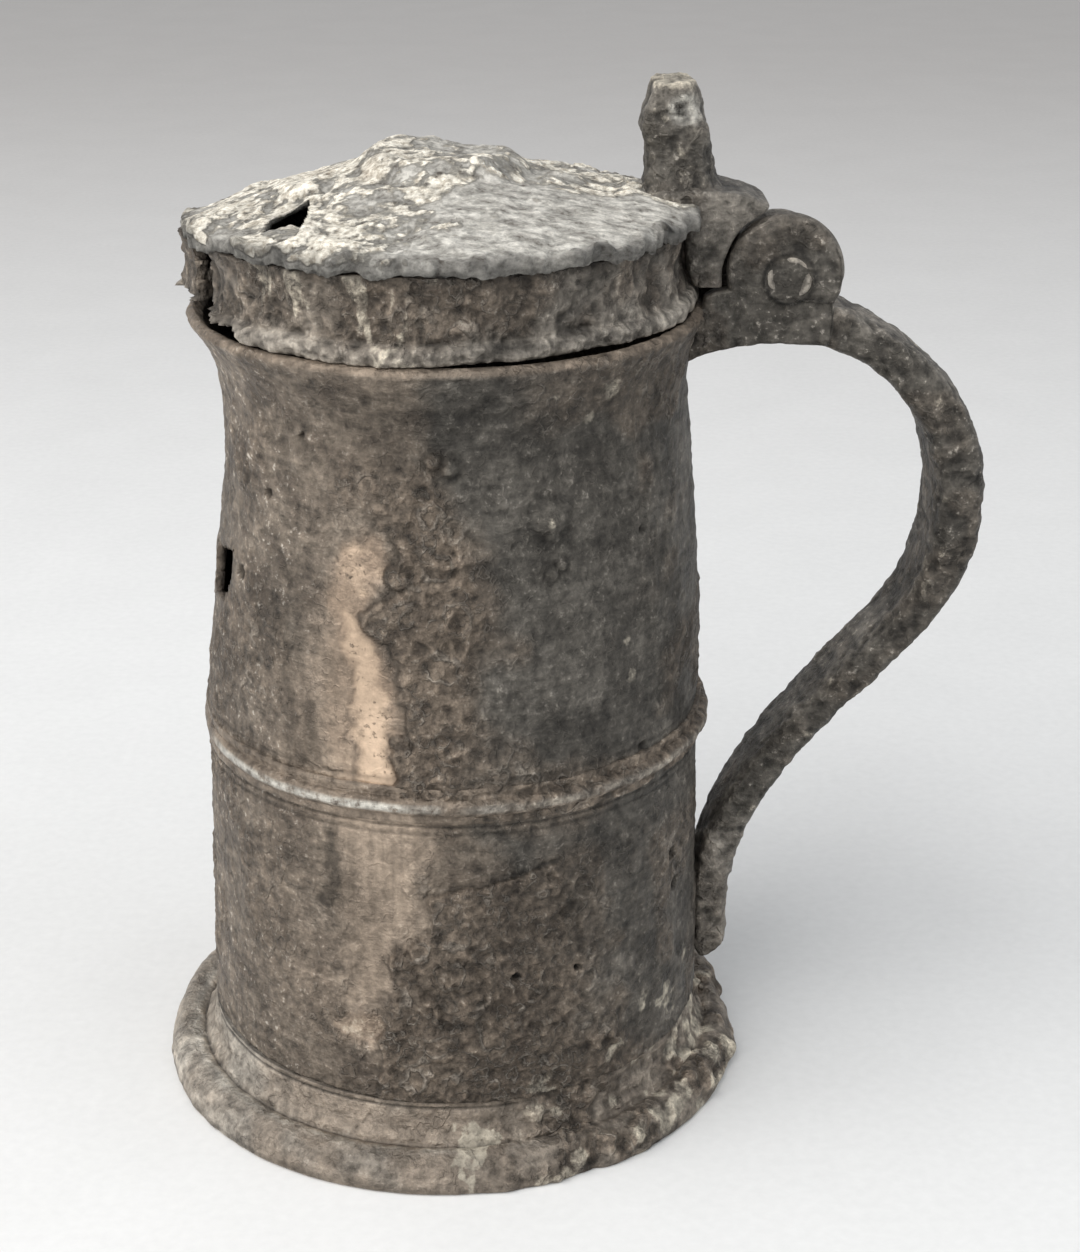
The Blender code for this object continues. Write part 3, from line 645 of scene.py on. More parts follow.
class TANKARD_Sizes(bpy.types.PropertyGroup):
    """Sizes of the worn surfaces; those that the solids give are read from their boxes."""

    base_radius: length("Base radius", "Drum's outside where it meets the foot", half_width(LOWER_BOX, 0))
    waist_radius: length("Waist radius", "Drum's outside under the band", 50.0 * MM)
    neck_radius: length("Neck radius", "Drum's outside below the lip", 45.8 * MM)
    lip_radius: length("Lip radius", "Outside of the rounded lip", 50.0 * MM)
    drum_wall: length("Drum wall", "Thickness of the drum", 2.0 * MM)
    lip_bead: length("Lip bead", "Half of the lip's thickness", 1.6 * MM)
    foot_radius: length("Foot radius", "Outside of the spread foot", half_width(FOOT_BOX, 1))
    lid_radius: length("Lid radius", "Outside of the lid's plate", 49.3 * MM)
    lid_wall_radius: length("Lid wall radius", "Outside of the lid's upright wall", 47.6 * MM)
    dome_rise: length("Dome rise", "Height of the dome over the plate's edge", 6.4 * MM)
    boss_radius: length("Boss radius", "Radius of the boss in the middle", 15.5 * MM)
    boss_rise: length("Boss rise", "Height of the boss over the dome", 3.2 * MM)
    ear_radius: length("Ear radius", "Round end of the hinge's cheeks", 11.35 * MM)
    hinge_width: length("Hinge width", "From one cheek's face to the other's", 17.6 * MM)
    knuckle_width: length("Knuckle width", "Width of the lid's knuckle", 6.6 * MM)


class TANKARD_Colours(bpy.types.PropertyGroup):
    """Colours of the metal and what has grown on it; some also stand in for light, reflection and shade."""

    ground_dark: tint("Dark ground", "Dark corroded metal", 110, 99, 88)
    ground_light: tint("Light ground", "Lighter corroded metal", 156, 143, 128)
    crust_dark: tint("Dark crust", "Hollows of the brown crust", 92, 81, 70)
    crust_light: tint("Light crust", "Crests of the brown crust", 144, 129, 113)
    # Dust on upward faces, also used as painted light on lit tops and sides
    dust: tint("Dust", "Dry earth on upward faces", 210, 201, 188)
    # Rubbed metal, its brightness partly a painted sheen
    satin: tint("Satin metal", "Rubbed smooth metal", 190, 172, 153)
    satin_dark: tint("Scratches", "Scratches in the rubbed metal", 154, 139, 123)
    # Polished crests, their brightness partly a painted highlight
    polish_and_highlight: tint("Silver", "Polished crests, as on the band", 222, 218, 208)
    # Bare metal, its brightness partly a painted reflection of the bright floor
    bare_reflection_dull: tint("Dull bare metal", "Bare metal where it is scratched", 180, 158, 137)
    bare_reflection_bright: tint("Bright bare metal", "Bare metal where it is worn", 240, 212, 184)
    cool_dark: tint("Dark cool ground", "Dark metal on the handle's side", 80, 76, 70)
    cool_light: tint("Light cool ground", "Lighter metal on the handle's side", 120, 115, 107)
    glint: tint("Glint", "Small bright crests", 220, 212, 200)
    # Pale deposits, also used as a painted highlight on the band's crest
    pale: tint("Deposit", "Pale mineral specks", 224, 214, 194)
    chalk: tint("Chalk", "Cream scale on the lid", 240, 234, 220)
    chalk_dark: tint("Old chalk", "Cream scale in its hollows", 192, 181, 163)
    slate: tint("Slate", "Grey scale on the lid", 216, 212, 203)
    slate_dark: tint("Dark slate", "Grey scale in its hollows", 166, 162, 154)
    stain: tint("Stain", "Brown stain on the scale", 160, 140, 118)
    paper: tint("Paper", "The sheet that the tankard stands on", 230, 230, 229)
    # Greyer paper behind: painted shade where the light falls off
    paper_far_shaded: tint("Far paper", "The sheet in the distance", 204, 201, 198)
    flecks: bpy.props.FloatProperty(
        name="Flecks", description="How strongly the small crests glint", default=0.6, min=0.0, max=1.0
    )


# Drum

WAIST_Z = BAND_BOX[0].z + (BAND_BOX[1].z - BAND_BOX[0].z) / 2
NECK_Z = UPPER_BOX[1].z - 15.0 * MM
TAPER_POWER = 1.35

# Shares of the upper drum's rows at which its wall starts to thicken, and its side turns over into the lip
WALL_GROWS = 0.85
LIP_START = 0.94

# Lean of the drum towards the handle, as (height, lean) in millimetres
LEAN = ((15.0, 0.4), (60.0, 0.7), (85.0, 0.7), (105.0, 1.5), (140.0, 1.5), (155.0, 1.1), (164.0, 0.0))

# The dent on the drum's far left: bearing, height, depth, and its spread in degrees and in millimetres
DENT = (-178.0, 134.0, 1.6, 36.0, 17.0)

# Strokes of (bearing, height, half-width): bare metal with a painted reflection, rubbed metal with a
# painted sheen, deposits, painted shades and smudges
BARE_TOP = ((-107.5, 132.0, 2.0), (-109.5, 127.0, 5.0), (-111.5, 121.5, 5.0), (-113.5, 115.0, 3.6))
BARE_CORE = ((-113.0, 117.0, 2.6), (-110.5, 110.0, 4.0), (-108.0, 101.0, 4.4), (-106.8, 93.0, 4.4))
BARE_CORE += ((-106.6, 82.0, 4.8),)
BARE_EDGE = ((-116.5, 113.0, 3.6), (-114.0, 101.0, 5.5), (-112.5, 82.0, 6.5))
SATIN_SHEEN_LEFT = ((-115.0, 114.0, 5.0), (-119.0, 100.0, 8.0), (-121.0, 84.0, 10.0))
SATIN_SHEEN_LOWER = ((-105.5, 76.0, 9.5), (-107.0, 64.0, 8.0), (-108.0, 50.0, 6.0), (-111.0, 34.0, 3.5))
SATIN_SHEEN_BROAD = ((-118.0, 76.0, 20.0), (-122.0, 56.0, 17.0), (-126.0, 34.0, 9.0))
CREAM = ((-115.0, 30.2, 2.6), (-109.5, 31.0, 4.2))
FOOT_CLIMB = ((-78.0, 14.0, 3.0), (-62.0, 16.0, 6.0), (-45.0, 20.0, 9.0), (-25.0, 26.0, 9.0))
LIP_SHADE = ((-118.0, 158.0, 4.0), (-100.0, 152.0, 8.0), (-80.0, 152.0, 8.0), (-40.0, 156.0, 5.0))
SIDE_SHADE = ((-72.0, 92.0, 8.0), (-30.0, 96.0, 10.0))
SMUDGES = (
    ((-112.8, 106.0, 0.2), (-112.0, 82.0, 0.3)),
    ((-129.0, 105.0, 0.4), (-127.5, 84.0, 1.8)),
    ((-123.5, 97.0, 1.4), (-124.0, 86.0, 2.0)),
    ((-118.5, 72.0, 1.0), (-119.0, 58.0, 2.6)),
)

# Lines of (height, bearing): the crust beside the bare patch starts and stops, the lower crust starts and
# thins out, and the brown ground gives way to darker, cooler metal
CRUST_START = ((80.0, -101.4), (93.0, -101.3), (104.0, -101.6), (109.0, -102.5), (113.0, -106.0))
CRUST_START += ((115.5, -108.5), (118.0, -107.0), (120.5, -102.0), (125.0, -101.0), (128.0, -103.5))
CRUST_START += ((133.0, -103.5), (140.0, -108.0), (150.0, -112.0))
CRUST_STOP = ((80.0, -87.0), (101.0, -86.0), (113.0, -83.0), (128.0, -83.0), (143.0, -92.0), (150.0, -100.0))
LOWER_START = ((15.0, -107.0), (29.0, -105.0), (41.0, -103.0), (49.0, -102.0), (54.0, -98.6), (60.0, -95.0))
LOWER_START += ((63.0, -84.0), (66.0, -66.0), (71.0, -30.0))
LOWER_STOP = ((15.0, -40.0), (30.0, -58.0), (70.0, -62.0))
COOL_START = ((15.0, -66.0), (45.0, -78.0), (75.0, -84.0), (101.0, -86.0), (113.0, -82.0), (128.0, -83.0))
COOL_START += ((143.0, -92.0), (160.0, -98.0))

# Height of the band, which parts the upper crust from the lower, and of the rings cut beside it
BAND_HEIGHT = 80.0
DRUM_LINES = (74.0, 75.6, 84.9)

# The band's ridge and its fillets stand out this far, and its back is sunk this far
BAND_PROUD = 2.3 * MM
BAND_EDGE = 0.6 * MM
BAND_SUNK = 0.8 * MM

# Ringed pustules, pale specks and pinholes of (bearing, height, radius)
PUSTULES = ((-89.4, 145.4, 1.5), (-67.1, 134.5, 3.0), (-66.8, 124.4, 1.3), (-64.4, 125.6, 1.1))
PUSTULES += ((-88.0, 38.0, 3.2), (-93.0, 147.0, 1.2), (-101.0, 124.5, 1.7), (-88.0, 43.0, 2.0))
SPECKS = ((-51.5, 157.3, 2.6), (-55.9, 152.8, 1.8), (-66.0, 158.0, 1.4), (-48.0, 108.0, 1.6))
SPECKS += ((-46.0, 100.0, 2.0),)
PINHOLES = ((-126.3, 149.0, 0.7), (-137.5, 136.1, 0.8), (-149.0, 117.8, 1.4), (-76.6, 42.9, 0.8))
PINHOLES += ((-62.2, 42.3, 0.6), (-41.4, 128.6, 0.6), (-42.8, 84.6, 0.8), (-30.8, 57.0, 1.1))
PINHOLES += ((-28.5, 49.3, 1.2),)

# The torn hole in the drum's side, as (bearing, height) corners
DRUM_HOLE = ((-174.0, 117.6), (-154.5, 120.8), (-155.0, 115.5), (-159.5, 109.0), (-172.0, 107.4))


def drum_radius(sizes, height):
    """Radius of the drum: straight to the waist, less by a power of the way to the neck, then the lip."""
    low = np.clip((height - LOWER_BOX[0].z) / (WAIST_Z - LOWER_BOX[0].z), 0.0, 1.0)
    high = np.clip((height - WAIST_Z) / (NECK_Z - WAIST_Z), 0.0, 1.0)
    flare = np.clip((height - NECK_Z) / (UPPER_BOX[1].z - sizes.lip_bead - NECK_Z), 0.0, 1.0)
    radius = sizes.base_radius + (sizes.waist_radius - sizes.base_radius) * low
    radius = radius + (sizes.neck_radius - sizes.waist_radius) * high**TAPER_POWER
    return radius + (sizes.lip_radius - sizes.neck_radius) * flare**2


def drum_crush(bearing, height):
    """What crushing adds to the radius: a lean along X, and a dent that fades as a bell both ways."""
    at, centre, depth, wide, tall = DENT
    steps, leans = np.array(LEAN).T
    lean = np.interp(height / MM, steps, leans) * np.cos(bearing)
    dent = depth * bell(off_bearing(bearing, at), wide) * bell(height / MM - centre, tall)
    return (lean - dent) * MM


def drum_crust(bearing, height):
    """Where the drum's brown crust is thick: between its lines, on the side towards the camera."""
    upper = past(bearing, height, CRUST_START, 0.8) * (1.0 - past(bearing, height, CRUST_STOP, 4.0))
    upper = upper * smooth(152.0, 138.0, height) * (height > BAND_HEIGHT)
    lower = past(bearing, height, LOWER_START, 0.8)
    lower = lower * (1.0 - 0.9 * past(bearing, height, LOWER_STOP, 8.0)) * (height < BAND_HEIGHT)
    return np.maximum(upper, lower) * seen(bearing)


def drum_grounds(bearing, points):
    """Where the drum is crusted, bare, rubbed, pale and cool, from strokes and lines with ragged edges.

    Bare places carry a painted reflection and rubbed ones a painted sheen; smudges and painted shade darken
    it.
    """
    height = points[..., 2] / MM
    ragged = fractal(points, 7, 4, 5)
    aside = bearing + np.radians(2.2 * ragged + 0.8 * noise(points, 1.6, 6))
    along = height + 2.0 * fractal(points, 6, 4, 8)
    lobes = np.radians(4.5 * (blisters(points, 6.5, 44) - 0.55))
    crust = drum_crust(aside + lobes, along)
    bare_and_reflection = np.maximum(0.68 * stroke(aside, along, BARE_TOP, 3.2), stroke(aside, along, BARE_CORE, 3.8))
    bare_and_reflection = np.maximum(bare_and_reflection, 0.5 * stroke(aside, height, BARE_EDGE, 6.0)) * (1.0 - crust)
    satin = np.maximum(0.75 * stroke(aside, height, SATIN_SHEEN_LEFT, 5.0), stroke(aside, height, SATIN_SHEEN_LOWER, 4.0))
    satin = np.maximum(satin, 0.24 * stroke(aside, height, SATIN_SHEEN_BROAD, 7.0)) * (1.0 - crust)
    thin = 0.65 * smooth(-0.05, 0.4, fractal(points, 20, 3, 41)) * (1.0 - satin) * (1.0 - bare_and_reflection)
    cream = stroke(aside, height + ragged, CREAM, 3.0)
    climb = stroke(aside, along, FOOT_CLIMB, 4.0) * smooth(-0.1, 0.5, fractal(points, 5, 3, 43))
    # Real dark smudges, painted shade under the lip and on the right side, and darker lower crust
    soot = 0.5 * sum(stroke(aside, height, smudge, 0.7) for smudge in SMUDGES)
    soot = soot + 0.3 * stroke(aside, along, LIP_SHADE, 6.0) + 0.16 * stroke(aside, along, SIDE_SHADE, 8.0)
    soot = soot + 0.12 * crust * (height < BAND_HEIGHT)
    return {
        "crust": crust,
        "bare_and_reflection": np.maximum(bare_and_reflection, 0.55 * cream),
        "satin": satin * (1.0 - cream),
        "thin": np.maximum(thin, 0.7 * stroke(aside, along, CREAM, 7.0) * (1.0 - cream)),
        "pale": np.maximum(0.5 * cream, 0.75 * climb),
        "cool": past(bearing + np.radians(4.0 * ragged), height, COOL_START, 5.0) * seen(bearing),
        # Painted shadow beside the crust's raised edge
        "soot": soot + 0.9 * np.clip(blurred(crust, False, 2) - crust, 0.0, 1.0),
    }


def drum_skin(points, grounds):
    """Push in millimetres of the drum's skin: a broad swell, fine grain, and lumps and rings of crust."""
    calm = 1.0 - 0.9 * np.maximum(grounds["bare_and_reflection"], 0.85 * grounds["satin"])
    patchy = smooth(-0.25, 0.5, fractal(points, 9, 2, 29))
    lumps = blisters(points, 3.6, 31) ** 1.4
    rings = bell(blisters(points, 5.0, 37) - 0.5, 0.1)
    swell = patchy * lumps + (1.0 - patchy) * (0.6 * rings + 0.5 * blisters(points, 1.7, 39))
    push = 0.3 * fractal(points, 16, 3, 11) + calm * 0.22 * fractal(points, 2.2, 3, 23)
    push = push + grounds["crust"] * (0.35 + 0.85 * swell + 0.35 * fractal(points, 2.0, 3, 53))
    return push + 0.75 * grounds["thin"] * swell


def add_pustule(fields, away):
    """Push in millimetres of one ringed dome, by distances in its radius; its marks go into the fields, with
    a painted shadow round the dome.
    """
    cool = fields["cool"]
    cover = smooth(1.6, 1.1, away) * (1.0 - cool)
    ringed = bell(away, 0.45) + 0.5 * bell(away - 0.9, 0.16)
    # A painted shadow ring round the dome, and pale on its crest and ring
    lift(fields, soot=0.4 * bell(away - 1.3, 0.3), pale=0.75 * ringed * (0.3 + 0.7 * cool), crust=cover)
    fields["bare_and_reflection"] = fields["bare_and_reflection"] * (1.0 - cover)
    fields["satin"] = fields["satin"] * (1.0 - cover)
    return 1.4 * bell(away, 0.85) - 0.3 * bell(away - 1.5, 0.35)


def drum_marks(bearing, points):
    """Fields of the drum's outside and the push that they give it: its grounds, cut lines and small marks."""
    height = points[..., 2] / MM
    grounds = drum_grounds(bearing, points)
    groove = sum(bell(height - line, 0.3) for line in DRUM_LINES) * (1.0 - 0.8 * grounds["crust"])
    push = drum_skin(points, grounds) - 0.2 * groove
    fields = {name: grounds[name] for name in ("bare_and_reflection", "satin", "pale", "cool")}
    fields["crust"] = np.maximum(grounds["crust"], grounds["thin"])
    # The cut lines are darkened with painted shade
    fields["soot"] = np.maximum(grounds["soot"], 0.5 * groove)
    uneven = 1.0 + 0.34 * fractal(points, 4.3, 4, 59)
    for mark in PUSTULES:
        push = push + add_pustule(fields, away_from(mark, bearing, height) * uneven / mark[2])
    uneven = uneven + 0.35 * fractal(points, 2.6, 3, 57)
    for mark in SPECKS:
        away = away_from(mark, bearing, height) * uneven / mark[2]
        lift(fields, pale=0.8 * bell(away, 1.0))
    for mark in PINHOLES:
        pit = np.exp(-((away_from(mark, bearing, height) / mark[2]) ** 4))
        push = push - 1.5 * pit
        # Painted shade in the pinhole
        lift(fields, soot=pit)
    fields["glint"] = 0.35 + 0.65 * smooth(-116.0, -135.0, np.degrees(bearing)) * seen(bearing)
    return fields, push * MM


def drum_keep(bearing, height):
    """Cells outside the torn hole: those that are not on the same side of every one of its edges."""
    corners = np.array(DRUM_HOLE)
    inside = np.ones(bearing.shape, bool)
    for first, last in zip(corners, np.roll(corners, -1, axis=0)):
        run = last - first
        inside &= run[0] * (height / MM - first[1]) - run[1] * (np.degrees(bearing) - first[0]) < 0.0
    return ~inside


def build_upper_drum(sizes, columns=336, rows=144):
    """Upper drum: the drum's radius with crush and marks, less the wall inside, and a bead as its lip."""
    low = UPPER_BOX[0].z
    bead = sizes.lip_bead
    bearing, share = np.meshgrid(bearings(columns), np.linspace(0.0, 1.0, rows))
    turn = quarter(share, LIP_START)
    height = low + (UPPER_BOX[1].z - bead - low) * np.minimum(share / LIP_START, 1.0)
    plain = drum_radius(sizes, height)
    crushed = drum_crush(bearing, height)
    radius = plain - bead * (1.0 - np.cos(turn)) + crushed
    rise = height + bead * np.sin(turn)
    even = turned(radius, rise, bearing)
    fields, push = drum_marks(bearing, even)
    wall = sizes.drum_wall + (2 * bead - sizes.drum_wall) * smooth(WALL_GROWS, LIP_START, share)
    inside = plain - wall + crushed + 0.2 * MM * fractal(even, 9, 3, 19)
    # A painted sheen along the lip's rolled edge
    lift(fields, satin=0.7 * smooth(0.93, 0.96, share) * seen(bearing))
    fields["relief"] = relief_of(push, False, 3, 0.55 * MM)
    middle = (bearing[:-1] + np.roll(bearing[:-1], -1, axis=1)) / 2
    keep = drum_keep(middle, (height[:-1] + height[1:]) / 2)
    outer = turned(radius + push, rise, bearing)
    inner = turned(inside, height, bearing)
    # The inner side is darkened with painted shade
    return shell_mesh("upper_drum_worn", outer, inner, keep, True, fields, crust=0.3, soot=0.55)


def build_lower_drum(sizes, columns=500, rows=150, inner_rows=20):
    """Lower drum: up the outside and down the inside, closed at both ends."""
    low = LOWER_BOX[0].z
    top = LOWER_BOX[1].z
    path = np.concatenate((np.linspace(low, top, rows), np.linspace(top, low, inner_rows)))
    outside = (np.arange(len(path)) < rows)[:, None]
    bearing, height = np.meshgrid(bearings(columns), path)
    radius = drum_radius(sizes, height) + drum_crush(bearing, height)
    fields, push = drum_marks(bearing, turned(radius, height, bearing))
    fields["relief"] = relief_of(push, True, 3, 0.55 * MM)
    fields = {name: values * outside for name, values in fields.items()}
    # The inside is darkened with painted shade
    fields["soot"] = np.where(outside, fields["soot"], 0.55)
    grid = turned(radius + np.where(outside, push, -sizes.drum_wall), height, bearing)
    return ring_mesh("lower_drum_worn", grid, fields)


def build_waist_band(sizes, columns=640):
    """Waist band: two flat fillets and a ridge as a half ellipse, worn low on the left."""
    half = WAIST_Z - BAND_BOX[0].z
    sweep = np.linspace(-math.pi / 2, math.pi / 2, 15)
    ridge = BAND_EDGE + (BAND_PROUD - BAND_EDGE) * np.cos(sweep)
    radial = np.concatenate(([BAND_EDGE] * 3, ridge, [BAND_EDGE] * 3, [-BAND_SUNK] * 4))[:, None]
    rise = (np.linspace(-half, -0.6 * half, 3), 0.5 * half * np.sin(sweep))
    rise += (np.linspace(0.6 * half, half, 3), np.linspace(half, -half, 4))
    bearing, height = np.meshgrid(bearings(columns), WAIST_Z + np.concatenate(rise))
    degrees = np.degrees(bearing)
    seat = drum_radius(sizes, np.full_like(height, WAIST_Z)) + drum_crush(bearing, height)
    left = smooth(-130.0, -160.0, degrees) * smooth(-225.0, -195.0, degrees)
    stand = np.where(radial > BAND_EDGE, radial * (1.0 - 0.5 * left), radial)
    points = turned(seat + stand, height, bearing)
    outside = radial > 0.0
    crest = smooth(0.86, 1.0, radial / BAND_PROUD)
    right = smooth(-100.0, -70.0, degrees) * seen(bearing)
    push = (0.12 + 0.25 * right) * fractal(points, 3.5, 4, 91) * MM * outside
    grid = turned(seat + stand + push, height + 0.25 * MM * fractal(points, 9, 2, 94), bearing)
    # Worn and lit places on the camera's side, where the crest carries polish and a painted highlight
    worn_and_lit = smooth(-1.2, -0.2, fractal(points, 8, 3, 97)) * smooth(-165.0, -150.0, degrees) * seen(bearing)
    # Polish with a painted highlight on the crest, rubbed metal with a painted sheen, and pale on the right
    # crest, partly a painted highlight
    fields = {
        "polish_and_highlight": crest * worn_and_lit * (1.0 - 0.75 * right),
        "satin": 0.5 * (1.0 - right) * seen(bearing) * outside,
        "crust": 0.5 * right,
        "pale": 0.5 * crest * right,
        "glint": 0.5,
        "relief": relief_of(push, depth=0.15 * MM),
    }
    return ring_mesh("waist_band_worn", grid, fields)


# Foot and floor

# How far the foot's edge is bent up at some bearings, in millimetres
FOOT_BENT = ((-180.0, 1.5), (-150.0, 0.0), (-30.0, 0.0), (0.0, 1.5), (20.0, 3.0), (60.0, 1.0))
FOOT_BENT += ((130.0, 2.0), (160.0, 4.0), (180.0, 1.5))

# Rings cut round the foot, by height on its neck and by radius on its flange, in millimetres
FOOT_CUTS = (14.1, 15.4)
FOOT_LINES = (53.7, 60.9)

# The cream patch in front, as (bearing, radius, reach), and the radius of the polished ridge that carries a
# painted highlight, in millimetres
FOOT_CREAM = (-86.0, 54.8, 4.0)
FOOT_RIDGE = 55.4

# The rolled rim's middle and height, the step inside it and the underside as (radius, height), in millimetres
FOOT_ROLL = (55.6, 7.2)
FOOT_STEP = ((53.5, 6.9), (53.2, 7.7))
FLOOR_SHELF = 9.6
FOOT_UNDER = ((45.6, FLOOR_SHELF), (45.6, 7.2), (47.8, 7.2), (50.7, 5.4), (55.9, 0.0), (57.7, 0.0))

# The neck's hollow curve: its depth, and the heights between which it runs
NECK_HOLLOW = 2.5 * MM
NECK_LOW = 8.0 * MM
NECK_HIGH = 15.5 * MM

# How far the foot's edge is broken back in places, eaten on the right, and pushed to the left
EDGE_BROKEN = 1.7 * MM
EDGE_EATEN = 0.3 * MM
EDGE_PUSHED = 0.5 * MM

# Rows of the grid on the outside and underneath
FOOT_ROWS = 46
UNDER_ROWS = 26

FLOOR_THICK = 2.0 * MM


def foot_profile(sizes):
    """Radius and height over the foot's rolled rim and up its neck, both as arcs, and back underneath."""
    out = sizes.foot_radius
    base = sizes.base_radius
    roll, rise = (value * MM for value in FOOT_ROLL)
    rim = [(out - 0.8 * MM, 0.0), (out - 0.2 * MM, 0.5 * MM)]
    sweep = np.radians(np.linspace(10.0, 108.0, 12))
    rim += [(roll + (out - roll) * math.cos(a), rise * math.sin(a)) for a in sweep]
    step = [(radius * MM, height * MM) for radius, height in FOOT_STEP]
    sweep = np.linspace(0.2, 1.57, 7)
    tall = NECK_HIGH - NECK_LOW
    neck = [(base + NECK_HOLLOW * (1.0 - math.sin(a)), NECK_LOW + tall * (1.0 - math.cos(a))) for a in sweep]
    inside = base - sizes.drum_wall
    under = [(inside, NECK_HIGH), (inside, FLOOR_SHELF * MM)]
    under += [(radius * MM, height * MM) for radius, height in FOOT_UNDER]
    return rim + step + neck, under


def foot_groove(radius, height):
    """1 in the rings cut round the foot, by radius on the flange and by height on the neck."""
    groove = sum(bell(radius / MM - line, 0.22) for line in FOOT_LINES)
    groove = groove + sum(bell(height / MM - line, 0.28) for line in FOOT_CUTS)
    return np.minimum(groove, 1.0)


def foot_cream(points, degrees, radius):
    """1 in the cream patch in front: near its middle, with a ragged edge."""
    at, middle, reach = FOOT_CREAM
    away = np.hypot((degrees - at) * 0.98, (radius / MM - middle) * 1.2) / reach
    return smooth(1.4, 0.5, away + 0.9 * fractal(points, 4, 4, 69))


def build_foot(sizes, columns=620):
    """Foot: the profile resampled finely and carried round, bent up and broken at its edge."""
    outside, under = foot_profile(sizes)
    path = np.concatenate((resample(outside, FOOT_ROWS), resample(under, UNDER_ROWS)))
    bearing, radius = np.meshgrid(bearings(columns), path[:, 0])
    height = np.broadcast_to(path[:, 1:], radius.shape)
    points = turned(radius, height, bearing)
    outer = (np.arange(len(path)) < FOOT_ROWS)[:, None]
    degrees = off_bearing(bearing, 0.0)
    flange = smooth(53.0, 60.5, radius / MM)
    right = smooth(-100.0, -60.0, degrees) * smooth(40.0, 0.0, degrees)
    front = seen(bearing)
    heavy = np.maximum(right, 0.3 * smooth(-120.0, -155.0, np.degrees(bearing)) * front)
    bend = np.interp(degrees, *np.array(FOOT_BENT).T) * flange * (0.85 + 0.3 * noise(points, 12, 3))
    crust = heavy * smooth(-0.25, 0.35, fractal(points, 9, 3, 61))
    lumps = blisters(points, 5, 64) ** 1.6
    push = 0.16 * fractal(points, 12, 3, 62) + (0.1 + 0.2 * heavy) * fractal(points, 2.6, 3, 63)
    push = push + crust * (1.9 * lumps + 0.7 * fractal(points, 4, 3, 65))
    broken = flange * (0.1 + 0.7 * right) * smooth(0.1, 0.7, fractal(stretched(points, 0.1), 7, 3, 66))
    groove = foot_groove(radius, height) * (1.0 - right) * outer
    cream = foot_cream(points, degrees, radius) * outer
    push = (push - 0.28 * groove) * outer * (0.3 + 0.7 * smooth(0.0, 2.0, height / MM))
    cut = radius - EDGE_BROKEN * broken - EDGE_EATEN * right * flange
    square = normals(turned(cut, height, bearing), True, True)
    grid = turned(cut, height + bend * MM, bearing) + square * (push * MM)[..., None]
    grid[..., 0] -= EDGE_PUSHED * flange
    grid[..., 2] = np.maximum(grid[..., 2], 0.0)
    ridge = bell(cut / MM - FOOT_RIDGE, 1.1) * smooth(-0.8, 0.2, fractal(points, 8, 3, 70))
    flecks = right * smooth(0.3, 0.7, lumps + 0.5 * fractal(points, 9, 2, 68))
    dark = right * smooth(0.1, 0.5, fractal(points, 6, 3, 72))
    # Dust, and painted light on the lit left and front, less on the right
    dusty = 0.7 + 0.9 * smooth(-110.0, -150.0, np.degrees(bearing)) * front - 0.35 * right
    fields = {
        "dust": outer * dusty,
        # Polish with a painted highlight on the ridge, and rubbed metal with a painted sheen
        "polish_and_highlight": 0.45 * (1.0 - right) * outer * ridge,
        "satin": 0.65 * outer * smooth(-0.7, 0.1, fractal(points, 14, 3, 67)) * (1.0 - heavy),
        "glint": 0.4,
        "crust": crust * outer,
        "pale": np.maximum(1.3 * cream, 0.8 * outer * flecks),
        # Cut rings darkened with painted shade, and darker patches on the right
        "soot": np.maximum(0.6 * groove, 0.35 * dark),
        "relief": relief_of(push * MM),
    }
    return ring_mesh("foot_worn", grid, fields)


def build_floor(columns=160, rows=60):
    """Floor: a thin plate, both sides as rings from the middle out, dished up as a cosine."""
    low, high = FLOOR_BOX
    out = np.linspace(0.01, 1.0, rows)
    share = np.concatenate((out, out[::-1]))[:, None]
    upper = (np.arange(2 * rows) < rows)[:, None]
    dish = (high.z - low.z - FLOOR_THICK) * np.cos(math.pi / 2 * share)
    points = turned((high.x - low.x) / 2 * share, low.z + dish + FLOOR_THICK * upper, circle(columns))
    push = 0.2 * fractal(points, 7, 4, 71) * MM * (share < 0.99)
    points[..., 2] += push
    fields = {"crust": 0.7, "pale": 0.2, "soot": 0.2, "relief": relief_of(push)}
    return tube_mesh("floor_worn", points, fields)


# Lid

# Where the lid is crushed down at its back: bearing, depth in millimetres, and spread in degrees
LID_CRUSH = ((132.0, 4.4, 58.0), (58.0, 2.2, 40.0))

# The torn hole in the lid's top, in millimetres from the drum's axis
LID_HOLE = ((-31.6, -20.6), (-24.8, -13.6), (-24.6, -24.0), (-26.3, -35.0), (-30.2, -33.5), (-33.0, -28.5))

# The plate's edge is this thick, and turns over past this share of its radius
PLATE_EDGE = 1.6 * MM
PLATE_TURN = 0.985

# Under the plate: its thickness over the hollow, and the radius of the seat on the wall
PLATE_THICK = 2.2 * MM
PLATE_SEAT = 44.3 * MM

# The dome falls by this power; the boss's round edge goes this far out and in from its radius
DOME_POWER = 1.3
BOSS_OUT = 3.0 * MM
BOSS_IN = 3.4 * MM

# The shard: how far it reaches into the hole along X and Y, its thickness, and how far its tip sinks
SHARD_REACH = (4.2, 7.0)
SHARD_THICK = 1.1 * MM
SHARD_SINK = 1.5

# The lid's wall: its thickness, the depth of its hollow face, and how far the torn flap is bent out
LID_WALL_THICK = 3.0 * MM
LID_WALL_HOLLOW = 1.0 * MM
FLAP_BENT = 2.4 * MM

# Where the wall is torn, in degrees and millimetres: the gap's sides, the wedge's start, end and height,
# and the stump's sides and height
GAP = (-165.0, -158.5)
WEDGE = (-162.0, -136.0, 5.0)
STUMP = (-196.0, -160.0, 3.4)

